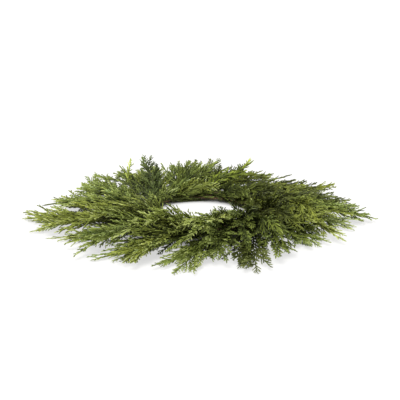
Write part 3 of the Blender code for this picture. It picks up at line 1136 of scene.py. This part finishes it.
@dataclass
class Work:
    """A spray while it is being built."""

    course: Course                   # the stem's
    vary: Random                     # source of variation
    start: float                     # where on the stem the foliage starts
    cluster: Cluster                 # what has been gathered so far


@dataclass
class CedarSpray:
    """A flat, feathery cedar spray: a stem, side twigs in its blade, and some that stand out of it."""

    line: StemLine
    habit: Habit
    trim: Trim
    shelf: TwigShelf
    stem_sides: int = 6
    stem_step: float = 0.008
    stem_taper: float = 0.35
    supple: float = 0.045            # side twigs longer than this stray less out of the blade
    most_stray_degrees: float = 20.0
    woody_until: float = 0.55        # share of the length by which the stem has turned green
    stem_growth: float = 0.5         # at the stem's tip
    narrow: float = 0.55             # share of the reach where the foliage starts
    widens: float = 0.45             # what the reach gains from there
    broad_from: float = 0.28         # share of the blade where it has gained it
    measure: float = 0.001           # step in which twigs are brought to the outline
    angle_varies: float = 5.0        # degrees
    length_varies: Span = (0.85, 1.15)
    spacing_varies: Span = (0.8, 1.2)
    lifted_end: float = 1.5          # where lifted twigs end, in tip lengths from the stem's tip
    lifted_spread: float = 8.0       # degrees
    lifted_varies: Span = (0.7, 1.25)
    lifted_turn: Span = (10.0, 40.0)
    twist_spread: float = 14.0       # degrees that a twig is twisted about its own axis
    tone_varies: float = 0.35
    hue_spread: float = 0.12
    base_growth: Span = (0.10, 0.30)    # of a twig at the stem's base, and what one at its tip has more
    tip_growth: Span = (0.65, 0.4)
    tip: TipHabit = TipHabit()
    hangs_from: float = 0.120        # distances from the axis between which a sagging spray comes to hang
    hangs_fully: float = 0.240

    def build(self) -> Object:
        """Models the spray.

        Returns:
            The spray's object, undressed.
        """
        start = HOOP.bound + self.habit.leafy_from
        work = Work(Course(self.line), Random(f"{self.line.name} twigs"), start, Cluster())
        self.grow_stem(work)
        self.add_side_twigs(work)
        self.add_lifted_twigs(work)
        self.add_fronds(work)
        if not self.trim.bare_tip:
            self.add_tip(work)
        mesh = finish_mesh(work.cluster.bm, f"cedar_{self.line.name}")
        if self.trim.sag:
            self.hang(mesh)
        Surroundings().settle(mesh)
        Shade().cast(mesh)
        return bpy.data.objects.new(f"cedar_{self.line.name}", mesh)

    def hang(self, mesh: Mesh) -> None:
        """Lets the outer part of the spray hang lower.

        Args:
            mesh: The spray's mesh.
        """
        places = read_places(mesh)
        share = ramp(np.hypot(places[:, 0], places[:, 1]), self.hangs_from, self.hangs_fully)
        places[:, 2] -= self.trim.sag * share * share * (3.0 - 2.0 * share)
        write_places(mesh, places)

    def leafy_until(self, course: Course) -> float:
        """Where on the stem the twigs end."""
        return (1.0 - self.trim.bare_tip) * course.length

    def grow_stem(self, work: Work) -> None:
        """Grows the stem, woody where it is bound and green at its tip.

        Args:
            work: The spray so far.
        """
        course = work.course
        steps = round(course.length / self.stem_step)
        taper = 0.0 if self.trim.bare_tip else self.stem_taper
        rings = []
        for i in range(steps + 1):
            share = i / steps
            radius = HOOP.stem_radius * (1.0 - taper * ease(share))
            wood = 1.0 - ease(share / self.woody_until)
            gone = share * course.length
            growth = self.stem_growth * share
            rings.append(Ring(course.frame(gone), radius, radius, growth, gone, wood))
        grow(work.cluster.bm, round_outline(self.stem_sides), rings, smooth=True)

    def reach_at(self, share: float) -> float:
        """Finds how far the foliage reaches sideways.

        Args:
            share: Share of the blade's length; it is held between 0 and 1.

        Returns:
            The reach there, from the stem.
        """
        share = min(1.0, max(0.0, share))
        shoulder = self.narrow + self.widens * ease(share / self.broad_from)
        return self.habit.breadth * self.line.half_width * shoulder * (1.0 - share ** self.habit.fullness)

    def length_to_outline(self, gone: float, side: int, angle: float, start: float, end: float) -> float:
        """Finds how long a side twig is.

        Args:
            gone: Where on the stem it starts.
            side: 1 for the stem's left, -1 for its right.
            angle: Its angle from the stem, in radians.
            start: Where on the stem the foliage starts.
            end: The stem's length.

        Returns:
            The length that brings its tip to the spray's outline.
        """
        length, along, across = 0.0, math.cos(angle), math.sin(angle)
        share = self.habit.left * self.trim.left if side > 0 else self.habit.right * self.trim.right
        while length * across < share * self.reach_at((gone + length * along - start) / (end - start)):
            length += self.measure
        return length

    def add_side_twigs(self, work: Work) -> None:
        """Adds the side twigs, which alternate from side to side.

        Args:
            work: The spray so far.
        """
        habit, course, vary = self.habit, work.course, work.vary
        end = course.length - habit.tip_length
        gone, side = work.start, 1 if vary.random() < 0.5 else -1
        while gone < min(end, self.leafy_until(course)):
            degrees = habit.angle_degrees + vary.uniform(-self.angle_varies, self.angle_varies)
            length = self.length_to_outline(gone, side, math.radians(degrees), work.start, course.length)
            length *= vary.uniform(*self.length_varies)
            stray = vary.gauss(0.0, habit.flutter_degrees) * min(1.0, self.supple / length)
            tilt = habit.tilt_degrees + min(stray, self.most_stray_degrees)
            self.add_twig(work, gone, side * degrees, tilt, length)
            gone += habit.spacing / 2 * vary.uniform(*self.spacing_varies)
            side = -side

    def add_lifted_twigs(self, work: Work) -> None:
        """Adds the twigs that stand out of the blade.

        Args:
            work: The spray so far.
        """
        habit, course, vary = self.habit, work.course, work.vary
        gone = work.start + habit.lifted_spacing / 2
        while gone < min(course.length - self.lifted_end * habit.tip_length, self.leafy_until(course)):
            side = 1 if vary.random() < habit.lifted_left else -1
            tilt = vary.gauss(habit.lifted_degrees, self.lifted_spread)
            length = self.trim.lifted * habit.lifted_length * vary.uniform(*self.lifted_varies)
            turn = side * vary.uniform(*self.lifted_turn)
            self.add_twig(work, gone, turn, tilt, length)
            gone += habit.lifted_spacing * vary.uniform(*self.spacing_varies)

    def add_fronds(self, work: Work) -> None:
        """Adds this spray's own fronds, those in rows first.

        Args:
            work: The spray so far.
        """
        rows = [frond for fill in FILLS for frond in fill.fronds()]
        for frond in (*rows, *FRONDS):
            if frond.spray == self.line.name:
                gone = frond.at * work.course.length
                self.add_twig(work, gone, frond.turn_degrees, frond.rise_degrees, frond.length,
                              frond.tone, frond.hue, frond.droop_degrees)

    def add_twig(self, work: Work, gone: float, degrees: float, tilt: float, length: float,
                 tone: float = 0.0, hue: float = 0.0, droop: float = 0.0) -> None:
        """Adds one twig.

        Args:
            work: The spray so far.
            gone: Where on the stem it starts.
            degrees: Its angle from the stem, to the left.
            tilt: Its rise out of the blade, in degrees.
            length: Its length.
            tone: Added to its tone.
            hue: Added to its hue.
            droop: What it curls down through, in degrees.
        """
        course, vary = work.course, work.vary
        place = course.frame(gone) @ turned(degrees, "Z") @ turned(-tilt, "Y")
        place @= turned(vary.gauss(0.0, self.twist_spread), "X")
        mesh, sizing = self.shelf.pick(length, degrees < 0, vary)
        share = gone / course.length
        base, tip = (growth + gain * share for growth, gain in (self.base_growth, self.tip_growth))
        tone += self.trim.tone + vary.uniform(-self.tone_varies, self.tone_varies)
        hue += self.trim.hue + vary.gauss(0.0, self.hue_spread)
        if droop:
            mesh = curled(mesh, droop)
        work.cluster.add(mesh, place @ sizing, (base, min(1.0, tip)), tone, hue)
        if droop:
            bpy.data.meshes.remove(mesh)

    def add_tip(self, work: Work) -> None:
        """Adds the branchlets along the stem's last stretch.

        Args:
            work: The spray so far.
        """
        tip, course, vary = self.tip, work.course, work.vary
        start = course.length - self.habit.tip_length
        gone, side = start, 1
        while gone < course.length - tip.bare:
            share = (gone - start) / self.habit.tip_length
            length = tip.shortest + tip.longer * (1.0 - share) * vary.uniform(*tip.length_varies)
            place = course.frame(gone) @ turned(side * vary.uniform(*tip.turn_degrees), "Z")
            place @= turned(vary.gauss(0.0, tip.spread_degrees), "Y")
            mesh, sizing = self.shelf.branchlets.pick(length, side < 0)
            tone = self.trim.tone + vary.uniform(-tip.tone_varies, tip.tone_varies)
            work.cluster.add(mesh, place @ sizing, tip.growth, tone, self.trim.hue)
            gone += tip.spacing
            side = -side


# ---------------------------------------------------------------- finishes


class Nodes:
    """Short ways to add and join nodes in one tree."""

    def __init__(self, tree: NodeTree) -> None:
        """Keeps the tree to work in."""
        self.tree = tree

    def add(self, kind: str, **settings: object) -> Node:
        """Adds a node and sets its own properties.

        Args:
            kind: The node's type.
            **settings: Its properties.

        Returns:
            The node.
        """
        node = self.tree.nodes.new(kind)
        for name, value in settings.items():
            setattr(node, name, value)
        return node

    def put(self, socket: NodeSocket, value: object) -> None:
        """Feeds a socket from another socket, or sets its value.

        Args:
            socket: The input to feed.
            value: An output to join to it, or a number or colour.
        """
        if isinstance(value, NodeSocket):
            self.tree.links.new(value, socket)
        else:
            socket.default_value = value

    def math(self, operation: str, *values: object, clamp: bool = False) -> NodeSocket:
        """Works out a sum.

        Args:
            operation: The sum's name.
            *values: Numbers or sockets.
            clamp: Whether the result is held between 0 and 1.

        Returns:
            The result.
        """
        node = self.add("ShaderNodeMath", operation=operation, use_clamp=clamp)
        for socket, value in zip(node.inputs, values):
            self.put(socket, value)
        return node.outputs[0]

    def fit(self, value: NodeSocket, low: float, high: float,
            to_low: float = 0.0, to_high: float = 1.0) -> NodeSocket:
        """Brings a value from one range to another, and holds it there.

        Args:
            value: The value.
            low: Where its own range starts.
            high: Where that ends.
            to_low: What the start becomes.
            to_high: What the end becomes.

        Returns:
            The result.
        """
        node = self.add("ShaderNodeMapRange")
        for socket, number in zip(node.inputs, (value, low, high, to_low, to_high)):
            self.put(socket, number)
        return node.outputs[0]

    def mix(self, factor: object, first: object, second: object, blend: str = "MIX") -> NodeSocket:
        """Mixes two colours.

        Args:
            factor: Share of the second.
            first: A colour or socket.
            second: A colour or socket.
            blend: How they are mixed.

        Returns:
            The mixed colour.
        """
        node = self.add("ShaderNodeMix", data_type="RGBA", blend_type=blend)
        for socket, value in ((node.inputs[0], factor), (node.inputs[6], first), (node.inputs[7], second)):
            self.put(socket, (*value, 1.0) if isinstance(value, tuple) and len(value) == 3 else value)
        return node.outputs[2]

    def attribute(self, name: str) -> NodeSocket:
        """A vertex layer's value."""
        return self.add("ShaderNodeAttribute", attribute_name=name).outputs["Fac"]

    def where(self) -> NodeSocket:
        """The place, in the piece's own coordinates."""
        return self.add("ShaderNodeTexCoord").outputs["Object"]

    def noise(self, scale: object, roughness: float = 0.5) -> NodeSocket:
        """Adds noise over the piece's own coordinates.

        Args:
            scale: A number or socket.
            roughness: How strong its finer parts are.

        Returns:
            The noise, from 0 to 1.
        """
        node = self.add("ShaderNodeTexNoise")
        self.put(node.inputs["Vector"], self.where())
        for name, value in (("Scale", scale), ("Detail", 3.0), ("Roughness", roughness)):
            self.put(node.inputs[name], value)
        return node.outputs["Fac"]


def new_group(name: str, inputs: dict[str, float], outputs: tuple[str, ...]) -> tuple[Nodes, Node, Node]:
    """Starts a shader node group.

    Args:
        name: The group's name.
        inputs: Its number inputs and their defaults.
        outputs: Its number outputs.

    Returns:
        The group's nodes, its input node and its output node.
    """
    tree = bpy.data.node_groups.new(name, "ShaderNodeTree")
    for label, value in inputs.items():
        socket = tree.interface.new_socket(label, in_out="INPUT", socket_type="NodeSocketFloat")
        socket.default_value = value
    for label in outputs:
        tree.interface.new_socket(label, in_out="OUTPUT", socket_type="NodeSocketFloat")
    nodes = Nodes(tree)
    return nodes, nodes.add("NodeGroupInput"), nodes.add("NodeGroupOutput")


NOISE_SPAN = (0.25, 0.75)            # what most noise lies within


def mottle_group() -> NodeTree:
    """Makes uneven patches in two sizes, from 0 to 1.

    Returns:
        The group.
    """
    inputs = {"Patch Scale": 20.0, "Fleck Scale": 300.0, "Fleck Share": 0.3}
    nodes, given, made = new_group("mottle", inputs, ("Mottle",))
    patch, fleck = (nodes.fit(nodes.noise(given.outputs[label]), *NOISE_SPAN)
                    for label in ("Patch Scale", "Fleck Scale"))
    share = given.outputs["Fleck Share"]
    fleck = nodes.math("MULTIPLY", fleck, share)
    patch = nodes.math("MULTIPLY", patch, nodes.math("SUBTRACT", 1.0, share))
    nodes.put(made.inputs["Mottle"], nodes.math("ADD", patch, fleck, clamp=True))
    return nodes.tree


def bark_group() -> NodeTree:
    """Makes fine cracked bark or cane skin.

    Returns:
        The group, which gives a height and a mask of its cracks.
    """
    crack_width, plate_share, grain_share = 0.18, 0.6, 0.4
    nodes, given, made = new_group("bark", {"Scale": 900.0, "Crack": 0.35}, ("Height", "Cracks"))
    cells = nodes.add("ShaderNodeTexVoronoi", feature="DISTANCE_TO_EDGE")
    nodes.put(cells.inputs["Vector"], nodes.where())
    nodes.put(cells.inputs["Scale"], given.outputs["Scale"])
    grain = nodes.math("MULTIPLY", nodes.noise(scale=700.0, roughness=0.55), grain_share)
    edge = nodes.fit(cells.outputs["Distance"], 0.0, crack_width)
    nodes.put(made.inputs["Height"], nodes.math("ADD", nodes.math("MULTIPLY", edge, plate_share), grain))
    cracks = nodes.math("SUBTRACT", 1.0, edge)
    nodes.put(made.inputs["Cracks"], nodes.math("MULTIPLY", cracks, given.outputs["Crack"], clamp=True))
    return nodes.tree


def scale_group() -> NodeTree:
    """Makes overlapping scale leaves along a branchlet.

    Returns:
        The group, which gives a height and a mask of their free edges.
    """
    swell, edge_from = 1.6, 0.78
    nodes, given, made = new_group("scale_leaves", {"Spacing": 0.0022}, ("Height", "Edges"))
    along = nodes.math("DIVIDE", nodes.attribute(ALONG), given.outputs["Spacing"])
    rise = nodes.math("FRACT", along)
    nodes.put(made.inputs["Height"], nodes.math("POWER", rise, swell))
    nodes.put(made.inputs["Edges"], nodes.fit(rise, edge_from, 1.0))
    return nodes.tree


class Effects:
    """The node groups that several finishes share."""

    def __init__(self) -> None:
        """Makes every group."""
        self.mottle = mottle_group()
        self.bark = bark_group()
        self.scales = scale_group()

    def place(self, nodes: Nodes, tree: NodeTree, **values: float) -> Node:
        """Places a group in a material.

        Args:
            nodes: The material's nodes.
            tree: The group.
            **values: The group's inputs, in lower case with underscores.

        Returns:
            The placed group.
        """
        node = nodes.add("ShaderNodeGroup", node_tree=tree)
        for name, value in values.items():
            node.inputs[name.replace("_", " ").title()].default_value = value
        return node


def new_material(name: str) -> tuple[Material, Nodes, Node]:
    """Starts a material.

    Args:
        name: Its name.

    Returns:
        The material, its nodes and its main shader.
    """
    material = bpy.data.materials.new(name)
    material.use_nodes = True
    return material, Nodes(material.node_tree), material.node_tree.nodes["Principled BSDF"]


def bump(nodes: Nodes, shader: Node, height: NodeSocket, distance: float, strength: float) -> None:
    """Lets a height shape a shader's surface.

    Args:
        nodes: The material's nodes.
        shader: Its main shader.
        height: The height.
        distance: What a height of 1 stands for.
        strength: How strongly it shows.
    """
    node = nodes.add("ShaderNodeBump")
    nodes.put(node.inputs["Height"], height)
    nodes.put(node.inputs["Distance"], distance)
    nodes.put(node.inputs["Strength"], strength)
    nodes.put(shader.inputs["Normal"], node.outputs["Normal"])


def shaded(colour: Colour, share: float) -> Colour:
    """The colour, with that share of its brightness."""
    return tuple(share * part for part in colour)


@dataclass(frozen=True)
class CedarFinish:
    """Scale foliage on woody stems: darker within, partly as painted shade carried by the growth layer,
    lighter and yellower at the tips.
    """

    name: str
    old_and_shaded: Colour
    fresh: Colour
    pale: Colour
    bark: Colour = (0.085, 0.062, 0.030)
    yellowed: Colour = (1.45, 1.40, 0.80)      # what a twig's colour is multiplied by
    blued: Colour = (0.85, 1.05, 1.60)
    mottle_weight: float = 0.5       # what patches and the twig's tone add to its age
    tone_weight: float = 0.34
    fresh_ages: Span = (0.25, 0.85)
    pale_ages: Span = (0.80, 1.0)
    palest: float = 0.45
    edge_weight: float = 0.30        # of the scale leaves' edges
    edge_shade: float = 0.35
    crack_shade: float = 0.3
    roughness: Span = (0.50, 0.70)
    specular: float = 0.16

    def material(self, effects: Effects) -> Material:
        """Makes the material.

        Args:
            effects: The groups that finishes share.

        Returns:
            The material.
        """
        material, nodes, shader = new_material(self.name)
        mottle = effects.place(nodes, effects.mottle, patch_scale=26.0, fleck_scale=420.0, fleck_share=0.35)
        scales = effects.place(nodes, effects.scales)
        bark = effects.place(nodes, effects.bark, scale=1100.0, crack=0.5)
        mottled = mottle.outputs["Mottle"]
        growth, tone, hue = nodes.attribute(GROWTH_AND_SHADE), nodes.attribute(TONE), nodes.attribute(HUE)
        shift = nodes.math("MULTIPLY", nodes.math("SUBTRACT", mottled, 0.5), self.mottle_weight)
        tone = nodes.math("MULTIPLY", tone, self.tone_weight)
        # The growth layer carries painted shade, so the darkest green here also paints shade deep in the
        # ring.
        age_and_shade = nodes.math("ADD", nodes.math("ADD", growth, shift), tone, clamp=True)
        colour = nodes.mix(nodes.fit(age_and_shade, *self.fresh_ages), self.old_and_shaded, self.fresh)
        tips = nodes.math("MULTIPLY", nodes.fit(age_and_shade, *self.pale_ages), self.palest)
        colour = nodes.mix(tips, colour, self.pale)
        colour = nodes.mix(nodes.fit(hue, 0.0, 1.0), colour, self.yellowed, "MULTIPLY")
        colour = nodes.mix(nodes.fit(hue, 0.0, -1.0), colour, self.blued, "MULTIPLY")
        edges = nodes.math("MULTIPLY", scales.outputs["Edges"], self.edge_weight)
        colour = nodes.mix(edges, colour, shaded(self.old_and_shaded, self.edge_shade))
        wood = nodes.attribute(WOOD)
        skin = nodes.mix(bark.outputs["Cracks"], self.bark, shaded(self.bark, self.crack_shade))
        colour = nodes.mix(wood, colour, skin)
        nodes.put(shader.inputs["Base Color"], colour)
        nodes.put(shader.inputs["Roughness"], nodes.fit(mottled, 0.0, 1.0, *self.roughness))
        nodes.put(shader.inputs["Specular IOR Level"], self.specular)
        rough_bark = nodes.math("MULTIPLY", bark.outputs["Height"], wood)
        height = nodes.math("ADD", scales.outputs["Height"], rough_bark)
        bump(nodes, shader, height, distance=0.0003, strength=0.6)
        return material


@dataclass(frozen=True)
class CaneFinish:
    """Bent cane: split lengthwise, with a darker skin and worn fibres."""

    name: str = "bare_cane"
    light: Colour = (0.36, 0.23, 0.11)
    dark: Colour = (0.15, 0.085, 0.038)
    fibre_weight: float = 0.45
    mottle_weight: float = 0.55
    crack_shade: float = 0.4
    roughness: Span = (0.50, 0.72)

    def material(self, effects: Effects) -> Material:
        """Makes the material.

        Args:
            effects: The groups that finishes share.

        Returns:
            The material.
        """
        material, nodes, shader = new_material(self.name)
        mottle = effects.place(nodes, effects.mottle, patch_scale=34.0, fleck_scale=600.0, fleck_share=0.5)
        bark = effects.place(nodes, effects.bark, scale=380.0, crack=0.4)
        rings = nodes.add("ShaderNodeTexWave", wave_type="RINGS", rings_direction="Z")
        nodes.put(rings.inputs["Vector"], nodes.where())
        for name, value in (("Scale", 240.0), ("Distortion", 3.0), ("Detail", 3.0), ("Detail Scale", 2.0)):
            nodes.put(rings.inputs[name], value)
        fibres = rings.outputs["Fac"]
        patches = nodes.math("MULTIPLY", mottle.outputs["Mottle"], self.mottle_weight)
        tint = nodes.math("ADD", nodes.math("MULTIPLY", fibres, self.fibre_weight), patches)
        colour = nodes.mix(tint, self.dark, self.light)
        colour = nodes.mix(bark.outputs["Cracks"], colour, shaded(self.dark, self.crack_shade))
        nodes.put(shader.inputs["Base Color"], colour)
        nodes.put(shader.inputs["Roughness"], nodes.fit(fibres, 0.0, 1.0, *self.roughness))
        height = nodes.math("ADD", fibres, bark.outputs["Height"])
        bump(nodes, shader, height, distance=0.0003, strength=0.5)
        return material


@dataclass(frozen=True)
class WireFinish:
    """Dark green enamelled wire, chipped to steel in places."""

    name: str = "green_wire"
    enamel: Colour = (0.030, 0.052, 0.018)
    steel: Colour = (0.34, 0.33, 0.31)
    chipped: Span = (0.74, 0.80)     # the mottle between which enamel gives way to steel
    metallic: float = 0.9
    roughness: Span = (0.30, 0.48)

    def material(self, effects: Effects) -> Material:
        """Makes the material.

        Args:
            effects: The groups that finishes share.

        Returns:
            The material.
        """
        material, nodes, shader = new_material(self.name)
        mottle = effects.place(nodes, effects.mottle, patch_scale=60.0, fleck_scale=900.0, fleck_share=0.6)
        mottled = mottle.outputs["Mottle"]
        chips = nodes.fit(mottled, *self.chipped)
        nodes.put(shader.inputs["Base Color"], nodes.mix(chips, self.enamel, self.steel))
        nodes.put(shader.inputs["Metallic"], nodes.math("MULTIPLY", chips, self.metallic))
        nodes.put(shader.inputs["Roughness"], nodes.fit(mottled, 0.0, 1.0, *self.roughness))
        bump(nodes, shader, mottled, distance=0.0001, strength=0.4)
        return material


class Green(Enum):
    """The greens that the sprays come in."""

    OLIVE = CedarFinish("cedar_olive", (0.033, 0.040, 0.004), (0.229, 0.266, 0.046), (0.50, 0.53, 0.27))
    LEAF = CedarFinish("cedar_leaf", (0.025, 0.033, 0.004), (0.181, 0.225, 0.042), (0.43, 0.47, 0.23))
    DEEP = CedarFinish("cedar_deep", (0.017, 0.022, 0.003), (0.110, 0.130, 0.025), (0.26, 0.28, 0.13))
    LIME = CedarFinish("cedar_lime", (0.050, 0.066, 0.008), (0.250, 0.310, 0.036), (0.45, 0.50, 0.16))
    BLUE = CedarFinish("cedar_blue", (0.022, 0.031, 0.005), (0.130, 0.170, 0.042), (0.31, 0.35, 0.18))


def greens(names: str) -> tuple[Green, ...]:
    """The greens of those names, in order."""
    return tuple(Green[name.upper()] for name in names.split())


GREENS = {
    Tier.LOW: greens("olive olive leaf leaf deep leaf leaf deep deep olive deep olive leaf olive"),
    Tier.MIDDLE: greens("olive leaf olive leaf leaf olive leaf deep deep deep leaf leaf leaf leaf"),
    Tier.TOP: greens("leaf olive leaf leaf leaf olive olive deep olive lime leaf blue leaf leaf"),
}


# ---------------------------------------------------------------- the studio


@dataclass(frozen=True)
class Studio:
    """A plain pale floor that glows as painted light round the ring, soft overhead light, and the camera.
    """

    floor_half_size: float = 6.0
    floor_colour: Colour = (0.19, 0.188, 0.184)
    painted_glow: float = 0.62               # painted light: the table glows, except under the foliage
    glow_within: Span = (0.070, 0.085)
    glow_beyond: Span = (0.125, 0.185)
    mottle_shade: float = 0.985
    floor_roughness: Span = (0.80, 0.90)
    sky_strength: float = 1.25
    sun_strength: float = 3.6
    sun_angle_degrees: float = 40.0
    sun_lean_degrees: Span = (18.0, -16.0)
    camera_place: Point = (0.0, -1.72, 0.526)
    camera_tilt_degrees: float = 73.8
    lens: float = 97.4
    sensor: float = 36.0

    def build(self, effects: Effects) -> None:
        """Puts up the camera, the light and the floor.

        Args:
            effects: The groups that finishes share.
        """
        self.add_camera()
        self.add_light()
        self.add_floor(effects)
        bpy.context.scene.view_settings.view_transform = "Standard"

    def add_camera(self) -> None:
        """Adds the camera and makes it the scene's."""
        data = bpy.data.cameras.new("camera")
        data.lens = self.lens
        data.sensor_width = self.sensor
        camera = bpy.data.objects.new("camera", data)
        camera.location = self.camera_place
        camera.rotation_euler = (math.radians(self.camera_tilt_degrees), 0.0, 0.0)
        bpy.context.scene.collection.objects.link(camera)
        bpy.context.scene.camera = camera

    def add_light(self) -> None:
        """Adds a wide soft light from above and a white sky."""
        data = bpy.data.lights.new("overhead", "SUN")
        data.energy = self.sun_strength
        data.angle = math.radians(self.sun_angle_degrees)
        overhead = bpy.data.objects.new("overhead", data)
        overhead.rotation_euler = (*map(math.radians, self.sun_lean_degrees), 0.0)
        bpy.context.scene.collection.objects.link(overhead)
        world = bpy.data.worlds.new("studio")
        world.use_nodes = True
        background = world.node_tree.nodes["Background"]
        background.inputs["Color"].default_value = (1.0, 1.0, 1.0, 1.0)
        background.inputs["Strength"].default_value = self.sky_strength
        bpy.context.scene.world = world

    def add_floor(self, effects: Effects) -> None:
        """Adds the floor.

        Args:
            effects: The groups that finishes share.
        """
        bm = bmesh.new()
        bmesh.ops.create_grid(bm, x_segments=8, y_segments=8, size=self.floor_half_size)
        mesh = finish_mesh(bm, "floor")
        material, nodes, shader = new_material("pale_floor")
        mottle = effects.place(nodes, effects.mottle, patch_scale=3.0, fleck_scale=60.0, fleck_share=0.3)
        mottled = mottle.outputs["Mottle"]
        darker = shaded(self.floor_colour, self.mottle_shade)
        nodes.put(shader.inputs["Base Color"], nodes.mix(mottled, darker, self.floor_colour))
        nodes.put(shader.inputs["Roughness"], nodes.fit(mottled, 0.0, 1.0, *self.floor_roughness))
        # Painted light: the floor glows inside the opening and beyond the ring but not under the foliage,
        # which lifts the shadows round the ring.
        radius = nodes.add("ShaderNodeVectorMath", operation="LENGTH")
        nodes.put(radius.inputs[0], nodes.where())
        within = nodes.fit(radius.outputs["Value"], *self.glow_within, 1.0, 0.0)
        painted_glow_mask = nodes.math("MAXIMUM", within, nodes.fit(radius.outputs["Value"], *self.glow_beyond))
        nodes.put(shader.inputs["Emission Color"], nodes.mix(painted_glow_mask, (0.0, 0.0, 0.0), (1.0, 1.0, 1.0)))
        nodes.put(shader.inputs["Emission Strength"], self.painted_glow)
        mesh.materials.append(material)
        floor = bpy.data.objects.new("floor", mesh)
        bpy.context.scene.collection.objects.link(floor)


# ---------------------------------------------------------------- putting the ring together


@dataclass
class CandleRing:
    """The whole ring: the sprays in place of their solids, and the dressed hoop and wire."""

    effects: Effects
    shelf: TwigShelf
    slack: float = 0.001             # by which a stem line may leave its solid's box
    triangles: int = 0

    def build(self) -> None:
        """Builds and dresses every piece."""
        greens = {green: green.value.material(self.effects) for green in Green}
        for line in RingPlan().lines():
            spray = CedarSpray(line, HABITS[line.tier], TRIMS.get(line.name, Trim()), self.shelf).build()
            spray.data.materials.append(greens[self.green(line)])
            self.show(spray, line.name)
            self.check(line)
        for node, finish in (("cane_hoop", CaneFinish()), ("binding_wire", WireFinish())):
            dressed = frame["nodes"][node]
            material = finish.material(self.effects)
            for slot in dressed.material_slots:
                slot.material = material
            log.info("dressed %s", node)

    def show(self, piece: Object, node: str) -> None:
        """Shows a piece in place of a node, and reports it.

        Args:
            piece: The piece.
            node: The node it stands for.
        """
        bpy.context.scene.collection.objects.link(piece)
        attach(piece, BODY)
        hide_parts(node)
        triangles = sum(len(face.vertices) - 2 for face in piece.data.polygons)
        self.triangles += triangles
        log.info("%s: %d triangles", piece.name, triangles)

    def green(self, line: StemLine) -> Green:
        """Picks a spray's green.

        Args:
            line: The spray's stem line.

        Returns:
            Its green.
        """
        number = int(line.name[-2:])
        if line.tier in GREENS:
            return GREENS[line.tier][number - 1]
        return Green.LEAF if number % 2 else Green.OLIVE

    def check(self, line: StemLine) -> None:
        """Reports a stem line that has left its solid.

        Args:
            line: The stem line.
        """
        low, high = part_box(line.name)
        for point in line.points():
            if any(point[k] < low[k] - self.slack or point[k] > high[k] + self.slack for k in range(3)):
                place = tuple(round(part, 4) for part in point)
                log.warning("%s: the line leaves its solid at %s", line.name, place)
                return


def main() -> None:
    """Builds the studio and the ring."""
    logging.basicConfig(level=logging.INFO, format="%(name)s: %(message)s")
    effects = Effects()
    Studio().build(effects)
    shelf = TwigShelf(BranchletShelf())
    shelf.stock()
    ring = CandleRing(effects, shelf)
    ring.build()
    log.info("%d triangles of foliage", ring.triangles)


if __name__ == "__main__":
    main()
